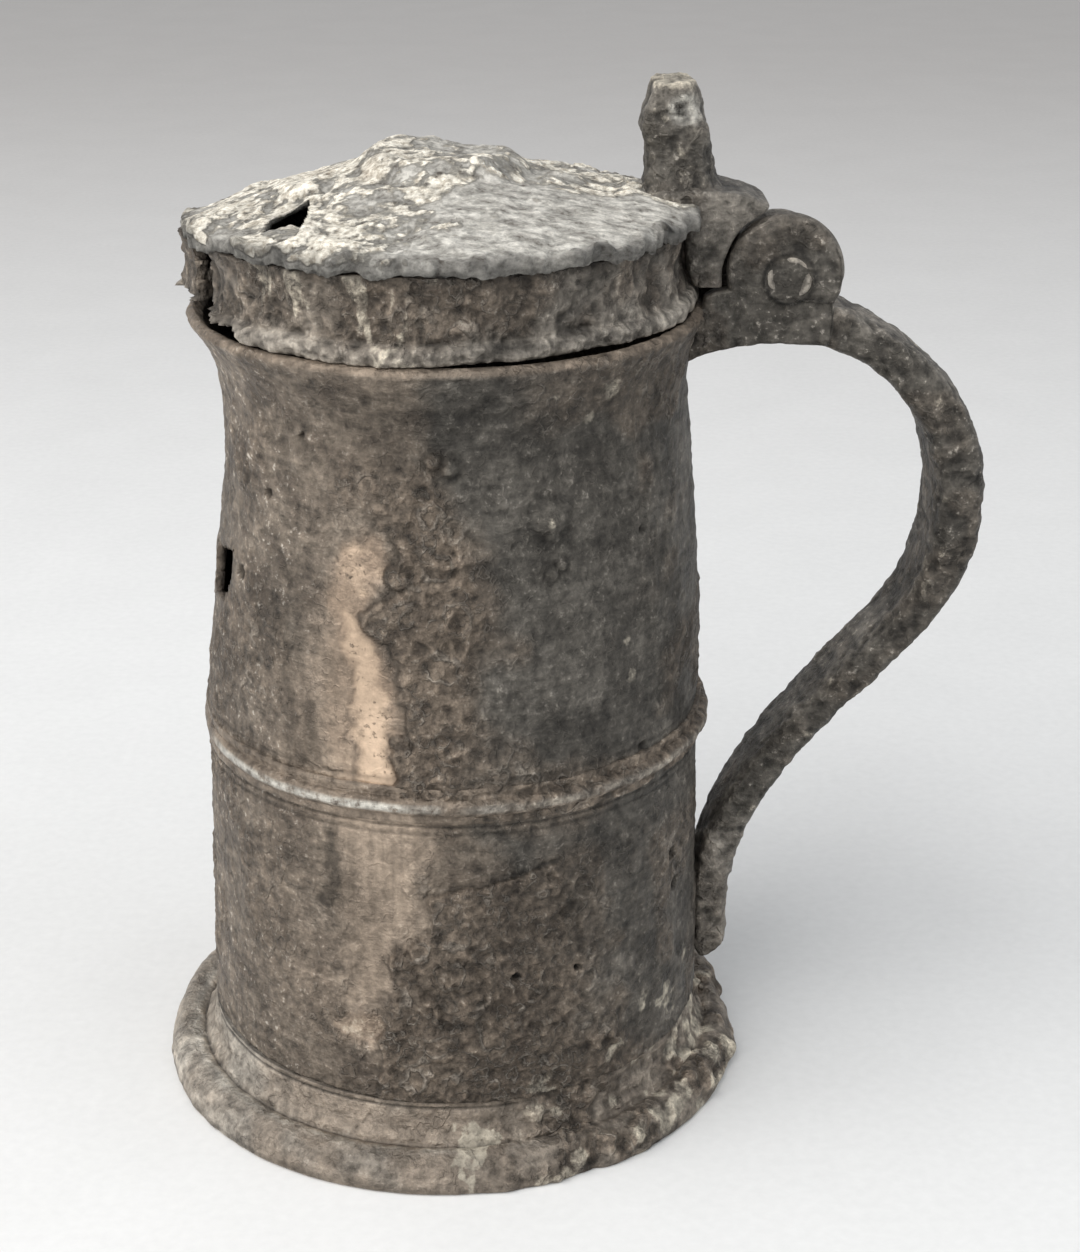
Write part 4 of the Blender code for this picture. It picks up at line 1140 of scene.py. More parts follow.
# The wall's flange: how far it stands out, and its middle and half its height as shares of the wall
FLANGE_PROUD = 1.5 * MM
FLANGE_MIDDLE = 0.09
FLANGE_HALF = 0.14


def lid_crush(points):
    """How far the lid is pressed down: bells round its bearings, growing with the square of the radius."""
    x = points[..., 0] - AXIS_X
    y = points[..., 1]
    reach = np.clip(np.hypot(x, y) / LID_TOP_BOX[1].y, 0.0, 1.0) ** 2
    depth = sum(deep * bell(off_bearing(np.arctan2(y, x), at), wide) for at, deep, wide in LID_CRUSH)
    return depth * reach * MM


def lid_height(sizes, radius):
    """Height of the lid's top: a dome that falls by a power of the radius, and a boss with a round edge."""
    edge = LID_TOP_BOX[1].z - sizes.dome_rise - sizes.boss_rise
    share = np.clip((radius - sizes.boss_radius) / (sizes.lid_radius - sizes.boss_radius), 0.0, 1.0)
    boss = smooth(sizes.boss_radius + BOSS_OUT, sizes.boss_radius - BOSS_IN, radius)
    return edge + sizes.dome_rise * (1.0 - share**DOME_POWER) + sizes.boss_rise * boss


def hole_in(points, corners):
    """True for points inside an outline: its edges are crossed an odd number of times on the way along X."""
    x = (points[..., 0] - AXIS_X) / MM
    y = points[..., 1] / MM
    inside = np.zeros(x.shape, bool)
    for (x0, y0), (x1, y1) in zip(corners, corners[1:] + corners[:1]):
        crosses = (y0 > y) != (y1 > y)
        inside ^= crosses & (x < (x1 - x0) * (y - y0) / (y1 - y0 + 1e-9) + x0)
    return inside


def lid_relief(points):
    """Height of the lid's scale in millimetres: flaking layers, lumps, grains and scattered pits."""
    shift = np.stack([fractal(points, 5, 3, 121 + axis) for axis in range(3)], axis=-1)
    bent = stretched(points + 2.2 * MM * shift, 0.3)
    layers = 1.3 * terraces(fractal(bent, 17, 3, 103), 4.0) + 0.5 * terraces(fractal(bent, 7, 2, 107), 3.0)
    pits = blisters(points, 9, 109) ** 5
    return layers + 0.2 * fractal(points, 2.4, 3, 104) + 0.4 * fractal(points, 30, 2, 105) - 1.2 * pits


def build_lid_top(sizes, count=212):
    """Lid's plate: a square grid pressed to a disc by x = u*sqrt(1 - v*v/2), domed above and hollow below."""
    u, v = square_grid(-1.0, 1.0, count)
    x = u * np.sqrt(1.0 - v * v / 2.0)
    y = v * np.sqrt(1.0 - u * u / 2.0)
    share = np.hypot(x, y)
    bearing = np.arctan2(y, x)
    half = PLATE_EDGE / 2
    turn = quarter(share, PLATE_TURN)
    around = turned(sizes.lid_radius, 0.0, bearing)
    ragged = 0.8 * MM * (fractal(around, 9, 3, 101) + fractal(around, 2.4, 2, 102))
    rim = sizes.lid_radius + ragged * smooth(0.85, 1.0, share)
    radius = (rim - half) * np.minimum(share / PLATE_TURN, 1.0) + half * np.sin(turn)
    points = turned(radius, lid_height(sizes, radius) - half * (1.0 - np.cos(turn)), bearing)
    slate = smooth(-0.1, 0.2, x) * smooth(-0.15, -0.45, y) + smooth(0.8, 0.97, -y)
    slate = np.clip(slate + 0.35 * fractal(points, 14, 3, 110), 0.0, 1.0)
    push = lid_relief(points) * MM * (1.0 - 0.55 * slate)
    chips = 1.2 * MM * fractal(points, 5, 4, 106) * smooth(0.93, 1.0, share)
    outer = points.copy()
    outer[..., 2] += push - lid_crush(points) - chips
    within = (rim - 0.3 * MM) * share
    under = np.where(within > PLATE_SEAT, LID_TOP_BOX[0].z, lid_height(sizes, within) - PLATE_THICK)
    inner = turned(within, under, bearing)
    inner[..., 2] -= lid_crush(inner) + np.clip(chips, -0.4 * MM, 1.2 * MM)
    keep = ~hole_in((points[:-1, :-1] + points[1:, 1:]) / 2, LID_HOLE)
    # Painted shade on the rim of the plate
    soot = smooth(0.93, 0.98, share) * (0.4 + 0.3 * fractal(points, 6, 3, 108))
    fields = {
        "cream": 0.56 + 0.1 * smooth(0.0, -0.6, x) - 0.4 * slate - 0.04 * smooth(0.35, 0.3, share),
        "stain": 0.3 * bell(x + 0.35, 0.4) * bell(y + 0.1, 0.5),
        "soot": soot + 0.3 * smooth(0.98, 1.0, share),
        "relief": relief_of(push, False, 4, 0.3 * MM),
    }
    # The underside is darkened with painted shade
    return shell_mesh("lid_top_worn", outer, inner, keep, False, fields, soot=0.75)


def build_shard(sizes, count=24):
    """The bent shard in the lid's hole: from one edge inwards, sinking as the square of the way."""
    u, v = square_grid(0.0, 1.0, count)
    start = np.array(LID_HOLE[5])
    run = np.array(LID_HOLE[3]) - start
    along = 0.5 + (u - 0.5) * (1.0 - 0.85 * v)
    x, y = (start[axis] - 0.6 + run[axis] * along + SHARD_REACH[axis] * v for axis in range(2))
    radius = np.hypot(x, y) * MM
    top = turned(radius, 0.0, np.arctan2(y, x))
    rough = 0.3 * fractal(top, 3, 3, 107)
    top[..., 2] = lid_height(sizes, radius) - lid_crush(top) - (0.4 + SHARD_SINK * v**2 - rough) * MM
    under = top - np.array((0.0, 0.0, SHARD_THICK))
    keep = np.ones((count - 1, count - 1), bool)
    fields = {"cream": 0.35 + 0.2 * rough, "stain": 0.1, "relief": rough}
    return shell_mesh("lid_shard", top, under, keep, False, fields)


def wall_torn(points, degrees, rise):
    """Where the lid's wall is gone: a gap on the left, a wedge beside it and the foot of a stump."""
    jag = 1.2 * fractal(points, 4, 3, 115)
    gap = (degrees + jag > GAP[0]) & (degrees + jag < GAP[1])
    start, stop, tall = WEDGE
    wedge = (degrees > start) & (rise + jag < tall * (stop - degrees) / (stop - start))
    start, stop, tall = STUMP
    stump = (degrees > start) & (degrees < stop) & (rise + jag < tall)
    return gap | wedge | stump


def build_lid_wall(sizes, columns=620, rows=40):
    """Lid's wall: a face hollowed as a sine over a flange as a half ellipse, folded, and torn on the left."""
    low = LID_WALL_BOX[0].z
    bearing, share = np.meshgrid(bearings(columns), np.linspace(0.0, 1.0, rows))
    degrees = np.degrees(bearing)
    height = low + (LID_WALL_BOX[1].z - low) * share
    bulge = np.clip(1.0 - ((share - FLANGE_MIDDLE) / FLANGE_HALF) ** 2, 0.0, 1.0)
    hollow = LID_WALL_HOLLOW * np.sin(math.pi * np.clip((share - 0.13) / 0.87, 0.0, 1.0))
    radius = sizes.lid_wall_radius - hollow + FLANGE_PROUD * np.sqrt(bulge)
    points = turned(radius, height, bearing)
    streak = fractal(stretched(points, 0.25), 5, 4, 111)
    folds = fractal(stretched(points, 0.45), 10, 2, 112)
    push = (1.3 * folds + 0.5 * streak + 0.5 * fractal(points, 2.6, 3, 113)) * MM
    sag = 0.5 * MM * noise(turned(radius, 0.0, bearing), 14, 114) * smooth(0.3, 0.0, share)
    outer = turned(radius + push, height + np.maximum(sag, -0.2 * MM), bearing)
    inner = turned(sizes.lid_wall_radius - LID_WALL_THICK, height, bearing)
    flap = FLAP_BENT * smooth(-158.0, -172.0, degrees) * smooth(-215.0, -190.0, degrees)
    drop = lid_crush(outer) * share
    for side in (outer, inner):
        side[..., 0] -= flap
        side[..., 2] -= drop
    keep = ~wall_torn(points, degrees, (height - low) / MM)[:-1]
    sides = smooth(-80.0, -50.0, degrees) + 0.7 * smooth(-110.0, -130.0, degrees)
    # Painted shade at the top under the plate and in the hollows of the folds
    dark = 0.4 * smooth(0.8, 1.0, share) + 0.4 * smooth(0.1, 0.9, -folds - 0.6 * streak)
    # Dust and painted light: lighter on the sides, lower down and on the flange
    dusty = 0.12 + 0.5 * sides * seen(bearing) - 0.15 * share + 0.5 * smooth(0.27, 0.22, share)
    fields = {
        "crust": 0.8 * smooth(-0.3, 0.3, fractal(points, 11, 3, 116)) * smooth(0.1, 0.35, share),
        "pale": np.maximum(0.7 * smooth(0.5, 1.0, streak + 0.4 * folds), 0.15 * smooth(0.28, 0.2, share)),
        "dust": dusty,
        "cool": 0.5 * smooth(-110.0, -80.0, degrees) * seen(bearing) + 0.3,
        "glint": 0.5,
        # Painted shade, and darker in front between the sides above the flange
        "soot": dark + 0.12 * (1.0 - sides) * (share > 0.2),
        "relief": relief_of(push, False),
    }
    # The inner side is darkened with painted shade
    return shell_mesh("lid_wall_worn", outer, inner, keep, True, fields, crust=0.4, soot=0.4)


# Handle, hinge and lever, drawn from the drum's axis in millimetres

# Middle line of the arm and strap: x, height, width across, depth
STRAP = (
    (50.4, 162.1, 16.6, 10.6),
    (55.0, 162.3, 16.4, 10.2),
    (61.0, 162.3, 16.2, 9.8),
    (68.0, 161.6, 16.2, 9.0),
    (76.5, 159.4, 16.4, 8.2),
    (86.8, 153.9, 17.6, 8.0),
    (96.1, 144.3, 20.0, 9.6),
    (100.6, 133.9, 22.0, 10.3),
    (101.5, 123.0, 22.6, 10.0),
    (99.6, 111.7, 22.0, 8.8),
    (95.0, 101.6, 20.6, 7.8),
    (87.2, 92.1, 19.4, 7.4),
    (78.1, 82.3, 18.2, 7.2),
    (69.6, 72.5, 17.0, 7.2),
    (62.5, 62.1, 16.0, 7.6),
    (57.2, 51.2, 15.0, 7.6),
    (54.7, 40.9, 14.4, 7.4),
    (54.3, 32.0, 14.0, 7.4),
    (54.2, 24.6, 13.4, 7.0),
)

# The slot's floor lies this far below the pin, and rises by this much between these places along X
SLOT_DEPTH = 9.0
SLOT_RISE = 12.0
SLOT_END = (70.5, 75.5)

# The arm's root follows the drum in by this much below the lip, and the strap's end is broken by this much
ROOT_REACH = 4.8 * MM
END_BROKEN = 2.2 * MM

# A cheek's outline below and behind the round ear: x, height; and the middle that its rings close on
CHEEK = ((54.3, 168.0), (51.6, 167.6), (49.7, 166.8), (49.2, 165.0), (46.4, 162.0), (45.4, 158.0))
CHEEK += ((45.6, 153.6), (47.8, 154.7), (52.6, 156.1), (57.0, 156.8), (62.1, 157.2), (69.8, 157.0))
CHEEK += ((74.2, 156.6), (75.2, 161.0), (75.0, 166.0))
CHEEK_MIDDLE = (63.0, 166.5)

# The near ear stands taller than the far one: how far its middle is from the pin, and the far one's share
EAR_MIDDLE = (-0.5, 0.9)
EAR_FAR_SHARE = 0.82

# The round ear's first and last angle in degrees, and how wide its smooth rim is
EAR_SWEEP = (-32.0, 196.0)
EAR_RIM = 3.0

# A cheek's rounded edge, and the rings of points on each of its faces and over that edge
CHEEK_EDGE = 0.9
FACE_RINGS = 30
EDGE_RINGS = 9

# Half of the pin from its face to its shank: radius, and distance in from the end
PIN_HALF = ((0.15, 0.4), (2.5, 0.4), (3.3, 0.1), (3.9, 0.0), (4.4, 0.3), (4.5, 1.1), (2.9, 1.2))

# Radius and depth of the ring sunk round the pin's head, and the gap between knuckle and cheek
PIN_RING = 4.9
PIN_RING_DEPTH = 0.35 * MM
HINGE_GAP = 0.5

# The knuckle's bore, radius and rounded edge, and its web: bearing about the pin, half-width and reach
KNUCKLE_BORE = 3.05
KNUCKLE_RADIUS = 8.4
KNUCKLE_EDGE = 0.4
WEB_BEARING = 168.0
WEB_HALF = 0.62
WEB_REACH = 5.2

# The lever's outer and inner sides, from its tongue to its foot: x, height
LEVER_OUT = ((39.4, 186.6), (45.0, 187.6), (52.6, 187.2), (57.0, 186.4), (60.6, 184.9), (61.8, 183.6))
LEVER_OUT += ((57.8, 181.0), (55.1, 177.5), (53.3, 172.6), (53.2, 168.8))
LEVER_IN = ((39.4, 185.2), (42.0, 184.2), (44.0, 183.4), (45.4, 182.6), (45.8, 181.4), (45.6, 180.0))
LEVER_IN += ((45.6, 178.0), (45.8, 174.8), (46.4, 171.0), (47.6, 168.8))

# The lever's skin calms down between these distances from the pin
LEVER_CALM = (16.0, 14.0)

# Thumbpiece levels: height, middle, half-length, half-width
THUMB = (
    (184.6, 45.8, 9.4, 8.6),
    (187.0, 45.2, 7.6, 7.8),
    (189.5, 44.7, 6.7, 7.0),
    (192.5, 44.6, 6.4, 6.4),
    (195.5, 44.4, 6.4, 6.4),
    (198.5, 43.8, 6.5, 6.9),
    (201.2, 43.6, 6.1, 7.3),
    (203.8, 43.9, 5.3, 7.2),
    (206.0, 43.8, 4.7, 6.5),
    (207.2, 43.7, 4.0, 5.6),
    (207.5, 43.6, 2.0, 3.0),
)

# The scoop in its front: its middle as x, y and share of the height, its reach each way, and its depth
SCOOP_MIDDLE = (46.0, -7.0, 0.72)
SCOOP_REACH = (4.2, 5.0, 3.4)
SCOOP_DEPTH = 1.6 * MM


def outward(grid):
    """A tube's normals, pointing away from the middle of each ring."""
    square = normals(grid, False, True)
    away = grid - grid.mean(axis=1, keepdims=True)
    return square * np.sign((square * away).sum())


def granular(points, seed, coarse, fine):
    """The push of a pitted casting in metres: a broad swell, fine grains, and pits where blisters sink."""
    pits = blisters(points, 4, seed + 2) ** 4
    push = coarse * fractal(points, 9, 3, seed) + fine * fractal(points, 2.2, 3, seed + 1) - 0.4 * pits
    return push * MM


def cast_fields(points, push, seed):
    """Fields of a dark casting: specks and crust where noise is high, painted shade where the relief is low.
    """
    relief = relief_of(push, False)
    return {
        "crust": 0.35 * smooth(-0.1, 0.5, fractal(points, 12, 3, seed + 1)),
        "pale": 0.5 * smooth(0.45, 0.8, fractal(points, 3.6, 4, seed)),
        "cool": 1.0,
        "glint": 0.6,
        "dust": 0.0,
        # Painted shade in the hollows of the relief
        "soot": 0.4 * smooth(0.1, 0.9, -relief),
        "relief": relief,
    }


def cast_tube(name, grid, seed, coarse, fine, still=0.0, **marks):
    """A tube with the rough skin of a casting: its points pushed along their normals.

    Still is the share of the push that is held back, and marks raise the fields of their names."""
    push = granular(grid, seed, coarse, fine) * (1.0 - still)
    square = outward(grid)
    fields = cast_fields(grid, push, seed + 40)
    # Dust and painted light on upward faces
    fields["dust"] = 0.45 * smooth(0.25, 0.9, square[..., 2])
    lift(fields, **marks)
    return tube_mesh(name, grid + square * push[..., None], fields)


def build_strap(rows=400, columns=84):
    """Arm and strap: a rounded rectangle carried along the swan-neck line, its lower end broken.

    Between the cheeks its section is squashed down to the floor of the slot."""
    path = resample(STRAP, rows)
    line = path[:, :2] * MM
    run = np.gradient(line, axis=0)
    run = run / np.linalg.norm(run, axis=1, keepdims=True)
    turn = circle(columns)
    wide = path[:, 2:3] * MM / 2 * squarish(np.cos(turn), 0.4)
    thick = path[:, 3:4] * MM / 2 * squarish(np.sin(turn), 0.5)
    grid = stacked(AXIS_X + line[:, :1] - run[:, 1:] * thick, wide, line[:, 1:] + run[:, :1] * thick)
    low = grid[..., 2].min(axis=1, keepdims=True)
    tall = grid[..., 2].max(axis=1, keepdims=True) - low
    slot = PIN_Z + (SLOT_RISE * smooth(*SLOT_END, path[:, :1]) - SLOT_DEPTH) * MM
    grid[..., 2] = low + (grid[..., 2] - low) * np.minimum((slot - low) / tall, 1.0)
    root = smooth(54.0, 50.4, path[:, :1])
    grid[..., 0] -= ROOT_REACH * root * smooth(166.0, 158.0, grid[..., 2] / MM)
    end = smooth(0.95, 1.0, np.linspace(0.0, 1.0, rows))[:, None]
    grid[..., 2] += END_BROKEN * end * fractal(stretched(grid, 0.0), 4, 3, 205)
    # Lighter towards the strap's lower end
    lower_end_lighter = 0.75 * smooth(60.0, 45.0, path[:, 1:2])
    return cast_tube("handle_strap", grid, 201, 0.28, 0.28, dust=lower_end_lighter)


def rounded_plate(outline, centre, low, high):
    """A plate with a round edge: rings from one face's middle out, over the edge, to the other's middle."""
    out = np.linspace(0.03, 0.9, FACE_RINGS) / 0.9
    spread = np.concatenate((out, np.ones(EDGE_RINGS), out[::-1]))[:, None]
    turn = np.linspace(-90.0, 90.0, EDGE_RINGS)
    turn = np.radians(np.pad(turn, FACE_RINGS, mode="edge"))[:, None]
    arms = outline - centre
    reach = np.linalg.norm(arms, axis=1)
    share = (spread * (reach - CHEEK_EDGE) + CHEEK_EDGE * np.cos(turn)) / reach
    x, z = ((centre[axis] + share * arms[:, axis]) * MM for axis in range(2))
    return stacked(AXIS_X + x, ((low + high) / 2 + (high - low) / 2 * np.sin(turn)) * MM, z)


def build_cheek(sizes, name, near, far, share, seed, count=150):
    """One hinge cheek: the round ear closed by the arm's side, with a ring sunk round the pin's head."""
    radius = sizes.ear_radius / MM
    turn = np.radians(np.linspace(*EAR_SWEEP, 60))
    ear = np.array((PIN_X, PIN_Z)) / MM + np.array(EAR_MIDDLE) * share
    ear = ear + radius * share * np.stack((np.cos(turn), np.sin(turn)), axis=1)
    outline = evenly(np.concatenate((ear, np.array(CHEEK), ear[:1])), count, closed=True)
    grid = rounded_plate(outline, np.array(CHEEK_MIDDLE), near, far)
    away = from_pin(grid)
    face = np.abs(grid[..., 1]) > (max(abs(near), abs(far)) - 0.4) * MM
    ring = bell(away - PIN_RING, 0.4) * face
    outer = np.sign(near + far) * np.sign(abs(far) - abs(near))
    grid[..., 1] -= outer * ring * PIN_RING_DEPTH
    rim = smooth(radius - EAR_RIM, radius, away) * (grid[..., 2] > PIN_Z)
    still = np.maximum(0.6 * ring, 0.9 * rim)
    # Painted shade in the ring round the pin's head, and a painted highlight on the ear's top rim
    return cast_tube(name, grid, seed, 0.16, 0.16, still=still, soot=0.75 * ring, dust=0.45 * rim)


def build_pin(columns=64):
    """Pin: a shank between two low heads, turned round its own axis, their faces rough."""
    half = (PIN_BOX[1].y - PIN_BOX[0].y) / 2 / MM
    profile = [(radius, half - back) for radius, back in PIN_HALF]
    profile += [(radius, -along) for radius, along in reversed(profile)]
    radius, along = along_profile(profile, 90)
    grid = about_pin(radius * MM, along * MM, circle(columns))
    shank = smooth(half - 1.0, half - 1.3, np.abs(along))
    head = np.abs(along) > half - 0.6
    # Lighter on the heads and their rounded edges: dust and painted light
    dust = 0.6 * head + 0.8 * head * smooth(3.0, 3.8, radius)
    return cast_tube("hinge_pin_worn", grid, 231, 0.1, 0.16, still=shank, dust=dust)


def build_lever(sizes, rows=170, columns=72):
    """Lever: a rounded block whose outer and inner sides follow two lines from its tongue to its foot."""
    out = resample(LEVER_OUT, rows) * MM
    into = resample(LEVER_IN, rows) * MM
    turn = circle(columns)
    deep = squarish(np.sin(turn), 0.3)
    x, z = (((out + into) / 2)[:, axis, None] + ((out - into) / 2)[:, axis, None] * deep for axis in range(2))
    grid = stacked(AXIS_X + x, sizes.hinge_width / 2 * squarish(np.cos(turn), 0.3), z)
    still = 0.9 * smooth(*LEVER_CALM, from_pin(grid))
    # Dust and painted light over the whole lever, which sits in shade
    return cast_tube("lid_lever_worn", grid, 241, 0.2, 0.2, still=still, dust=0.5)


def build_knuckle(sizes, columns=96):
    """Knuckle: an eye round the pin, with a web back to the lever: the outline bulges towards the lid."""
    turn = circle(columns)
    wide = sizes.knuckle_width / 2 / MM
    flat = KNUCKLE_RADIUS - KNUCKLE_EDGE
    side = wide - KNUCKLE_EDGE
    profile = [(KNUCKLE_BORE, -wide), (KNUCKLE_BORE, wide), (flat, wide)]
    profile += [(KNUCKLE_RADIUS, side), (KNUCKLE_RADIUS, -side), (flat, -wide)]
    radius, along = along_profile(profile, 60, closed=True)
    web = np.clip(1.0 - (np.radians(off_bearing(turn, WEB_BEARING)) / WEB_HALF) ** 4, 0.0, 1.0)
    reach = radius + smooth(5.0, KNUCKLE_RADIUS, radius) * WEB_REACH * web
    grid = about_pin(reach * MM, along * MM, turn)
    return ring_mesh("knuckle_worn", grid, cast_fields(grid, np.zeros(grid.shape[:2]), 251))


def build_thumbpiece(rows=90, columns=96):
    """Thumbpiece: rounded rectangles of unlike size stacked up a leaning line, scooped in front."""
    low, high = THUMB_BOX
    level, middle, long, wide = (column[:, None] for column in resample(THUMB, rows).T)
    turn = circle(columns)
    x = AXIS_X + middle * MM + long * MM * squarish(np.cos(turn), 0.72)
    grid = stacked(x, wide * MM * squarish(np.sin(turn), 0.72), level * MM)
    ahead, aside, share = SCOOP_MIDDLE
    centre = np.array((AXIS_X + ahead * MM, aside * MM, low.z + share * (high.z - low.z)))
    scoop = bell(np.linalg.norm((grid - centre) / np.array(SCOOP_REACH), axis=-1), MM)
    push = granular(grid, 261, 0.5, 0.3) - SCOOP_DEPTH * scoop
    square = outward(grid)
    fields = cast_fields(grid, push, 271)
    # Polish and a painted highlight in the scoop
    fields["polish_and_highlight"] = 0.9 * smooth(0.25, 0.7, scoop)
    fields["crust"] = 0.4 * fields["crust"]
    # Dust and painted light on the top and on upward faces
    fields["dust"] = 0.35 * smooth(194.0, 205.0, level) + 0.4 * smooth(0.0, 0.8, square[..., 2])
    lift(fields, pale=0.8 * smooth(204.5, 207.0, level))
    return tube_mesh("thumbpiece_worn", grid + square * push[..., None], fields)


# Stage

CAMERA_PLACE = (0.0, -0.4772, 0.2900)
CAMERA_YAW = 0.0387
CAMERA_PITCH = 0.3858
CAMERA_LENS = 72.446
CAMERA_SENSOR = 36.0
CAMERA_RANGE = (0.01, 30.0)

# Lamps aimed at the drum: name, place, size, power and colour
AIM = (AXIS_X, 0.0, 0.1)
LAMPS = (
    ("key", (-0.85, -0.7, 1.0), 1.8, 28.0, (1.0, 0.985, 0.965)),
    ("fill", (0.9, -0.5, 1.0), 1.2, 4.5, (0.94, 0.97, 1.0)),
)

# The paper's reach, its points along a side, and where along Y its painted shade turns it grey
PAPER_REACH = 4.0
PAPER_SIDE = 9
PAPER_FADE = (0.12, 1.35)
SURROUND = (0.95, 0.97, 1.0, 1.0)
SURROUND_STRENGTH = 0.54


def add_camera():
    """The camera stands in front of the drum's axis, turned a little towards the handle and down."""
    camera = bpy.data.objects.new("camera", bpy.data.cameras.new("camera"))
    bpy.context.scene.collection.objects.link(camera)
    ahead = Vector((math.sin(CAMERA_YAW), math.cos(CAMERA_YAW), 0.0)) * math.cos(CAMERA_PITCH)
    ahead.z = -math.sin(CAMERA_PITCH)
    turn = ahead.to_track_quat("-Z", "Y").to_matrix().to_4x4()
    camera.matrix_world = Matrix.Translation(Vector(CAMERA_PLACE) + Vector((AXIS_X, 0.0, 0.0))) @ turn
    camera.data.lens = CAMERA_LENS
    camera.data.sensor_width = CAMERA_SENSOR
    camera.data.clip_start, camera.data.clip_end = CAMERA_RANGE
    bpy.context.scene.camera = camera


def add_lamp(name, place, size, power, colour):
    """A square area lamp aimed at the drum."""
    data = bpy.data.lights.new(name, "AREA")
    data.shape = "SQUARE"
    data.size = size
    data.energy = power
    data.color = colour
    lamp = bpy.data.objects.new(name, data)
    bpy.context.scene.collection.objects.link(lamp)
    lamp.location = place
    lamp.rotation_euler = (Vector(AIM) - Vector(place)).to_track_quat("-Z", "Y").to_euler()


def add_paper(looks):
    """The sheet underneath: a large flat grid, paler near the camera and greyer behind with painted shade."""
    x, y = square_grid(-PAPER_REACH, PAPER_REACH, PAPER_SIDE)
    quads = grid_quads(PAPER_SIDE, PAPER_SIDE, False, False).reshape(-1, 4)
    mesh = bpy.data.meshes.new("paper")
    mesh.from_pydata(stacked(x, y, 0.0).reshape(-1, 3).tolist(), [], quads.tolist())
    paper = bpy.data.objects.new("paper", mesh)
    bpy.context.scene.collection.objects.link(paper)
    shades = Shades("paper")
    away = shades.node("ShaderNodeSeparateXYZ", {}, {"Vector": shades.place}, "Y")
    colour = shades.mix(away.above(*PAPER_FADE), looks.paper, looks.paper_far_shaded)
    fibre = 0.6 * shades.grain(2.5, 3.0) + 0.4 * shades.grain(35.0, 3.0)
    colour = shades.shade(colour, 0.9 + 0.18 * fibre)
    mesh.materials.append(shades.finish(Base_Color=colour, Roughness=0.95, Specular_IOR_Level=0.1))


def add_world():
    """An even, slightly cool surround."""
    world = bpy.data.worlds.new("surround")
    bpy.context.scene.world = world
    world.use_nodes = True
    back = world.node_tree.nodes["Background"]
    back.inputs["Color"].default_value = SURROUND
    back.inputs["Strength"].default_value = SURROUND_STRENGTH


# Operators


class TANKARD_OT_drum(bpy.types.Operator):
    """Builds both halves of the drum and the band between them"""

    bl_idname = "tankard.drum"
    bl_label = "Drum and band"

    def execute(self, context):
        sizes = context.scene.tankard_sizes
        pewter = old_pewter("drum_pewter", context.scene.tankard_colours)
        add_piece(build_upper_drum(sizes), "vessel", "upper_drum", pewter)
        add_piece(build_lower_drum(sizes), "vessel", "lower_drum", pewter)
        add_piece(build_waist_band(sizes), "vessel", "waist_band", pewter)
        return {"FINISHED"}


class TANKARD_OT_foot(bpy.types.Operator):
    """Builds the spread foot and the floor inside it"""

    bl_idname = "tankard.foot"
    bl_label = "Foot and floor"

    def execute(self, context):
        pewter = old_pewter("foot_pewter", context.scene.tankard_colours)
        add_piece(build_foot(context.scene.tankard_sizes), "vessel", "foot_ring", pewter)
        add_piece(build_floor(), "vessel", "floor_disc", pewter)
        return {"FINISHED"}


class TANKARD_OT_lid(bpy.types.Operator):
    """Builds the lid's wall and its domed top"""

    bl_idname = "tankard.lid"
    bl_label = "Lid"

    def execute(self, context):
        sizes = context.scene.tankard_sizes
        looks = context.scene.tankard_colours
        add_piece(build_lid_wall(sizes), "lid", "lid_wall", old_pewter("lid_pewter", looks))
        scale = chalky_crust("lid_scale", looks)
        add_piece(build_lid_top(sizes), "lid", "lid_top", scale)
        add_piece(build_shard(sizes), "lid", "lid_top", scale)
        return {"FINISHED"}


class TANKARD_OT_handle(bpy.types.Operator):
    """Builds the strap, the two hinge cheeks and the pin"""

    bl_idname = "tankard.handle"
    bl_label = "Handle and hinge"

    def execute(self, context):
        sizes = context.scene.tankard_sizes
        pewter = old_pewter("handle_pewter", context.scene.tankard_colours)
        inside = sizes.knuckle_width / 2 / MM + HINGE_GAP
        outside = sizes.hinge_width / 2 / MM
        near = build_cheek(sizes, "hinge_cheek_near", -outside, -inside, 1.0, 211)
        far = build_cheek(sizes, "hinge_cheek_far", inside, outside, EAR_FAR_SHARE, 221)
        for mesh in (build_strap(), near, far):
            add_piece(mesh, "vessel", "handle", pewter)
        add_piece(build_pin(), "vessel", "hinge_pin", pewter)
        return {"FINISHED"}


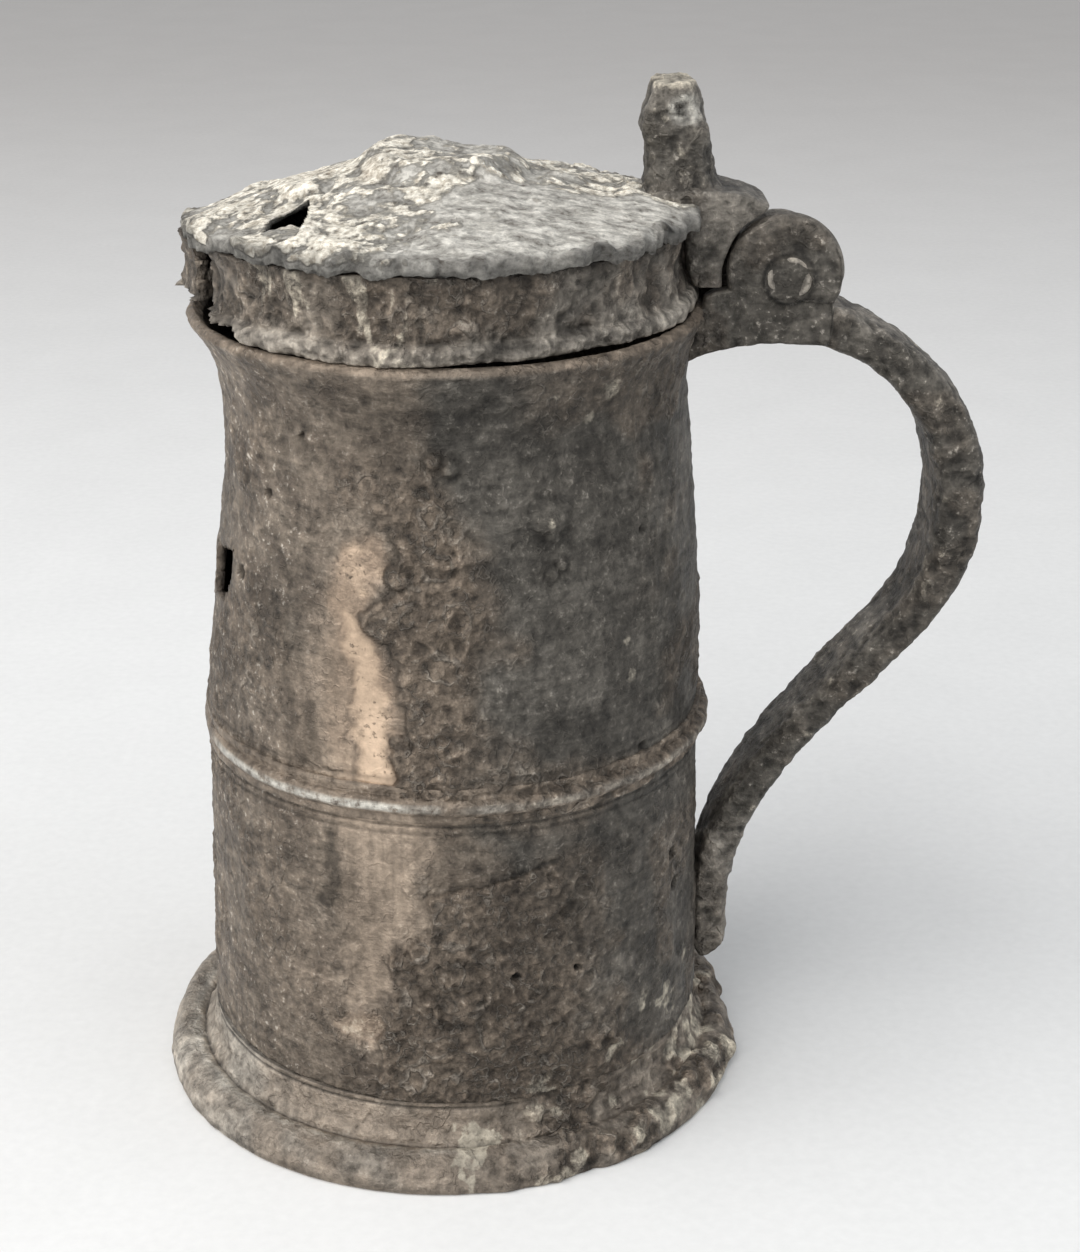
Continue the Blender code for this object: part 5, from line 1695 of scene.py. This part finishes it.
class TANKARD_OT_lever(bpy.types.Operator):
    """Builds the lever, its knuckle and the thumbpiece"""

    bl_idname = "tankard.lever"
    bl_label = "Lever and thumbpiece"

    def execute(self, context):
        sizes = context.scene.tankard_sizes
        pewter = old_pewter("lever_pewter", context.scene.tankard_colours)
        add_piece(build_lever(sizes), "lid", "lid_lever", pewter)
        add_piece(build_knuckle(sizes), "lid", "lid_lever", pewter)
        add_piece(build_thumbpiece(), "lid", "thumbpiece", pewter)
        return {"FINISHED"}


class TANKARD_OT_stage(bpy.types.Operator):
    """Sets the paper, the lamps and the camera"""

    bl_idname = "tankard.stage"
    bl_label = "Stage"

    def execute(self, context):
        context.scene.view_settings.view_transform = "Standard"
        add_world()
        add_paper(context.scene.tankard_colours)
        for lamp in LAMPS:
            add_lamp(*lamp)
        add_camera()
        return {"FINISHED"}


class TANKARD_PT_panel(bpy.types.Panel):
    """Lists the steps with their sizes and colours"""

    bl_idname = "TANKARD_PT_panel"
    bl_label = "Tankard"
    bl_space_type = "VIEW_3D"
    bl_region_type = "UI"
    bl_category = "Tankard"

    def draw(self, context):
        for step in STEPS:
            self.layout.operator(step.bl_idname)
        for group in (context.scene.tankard_sizes, context.scene.tankard_colours):
            for name in group.__annotations__:
                self.layout.prop(group, name)


STEPS = (
    TANKARD_OT_drum,
    TANKARD_OT_foot,
    TANKARD_OT_lid,
    TANKARD_OT_handle,
    TANKARD_OT_lever,
    TANKARD_OT_stage,
)
CLASSES = (TANKARD_Sizes, TANKARD_Colours, *STEPS, TANKARD_PT_panel)


def register():
    """Registers the classes and gives the scene both groups of properties."""
    for item in CLASSES:
        bpy.utils.register_class(item)
    bpy.types.Scene.tankard_sizes = bpy.props.PointerProperty(type=TANKARD_Sizes)
    bpy.types.Scene.tankard_colours = bpy.props.PointerProperty(type=TANKARD_Colours)


def unregister():
    """Takes the properties and the classes away again, last first."""
    del bpy.types.Scene.tankard_colours
    del bpy.types.Scene.tankard_sizes
    for item in reversed(CLASSES):
        bpy.utils.unregister_class(item)


def main():
    """Builds the pieces and the stage in order."""
    register()
    bpy.ops.tankard.drum()
    bpy.ops.tankard.foot()
    bpy.ops.tankard.lid()
    bpy.ops.tankard.handle()
    bpy.ops.tankard.lever()
    bpy.ops.tankard.stage()


if __name__ == "__main__":
    main()
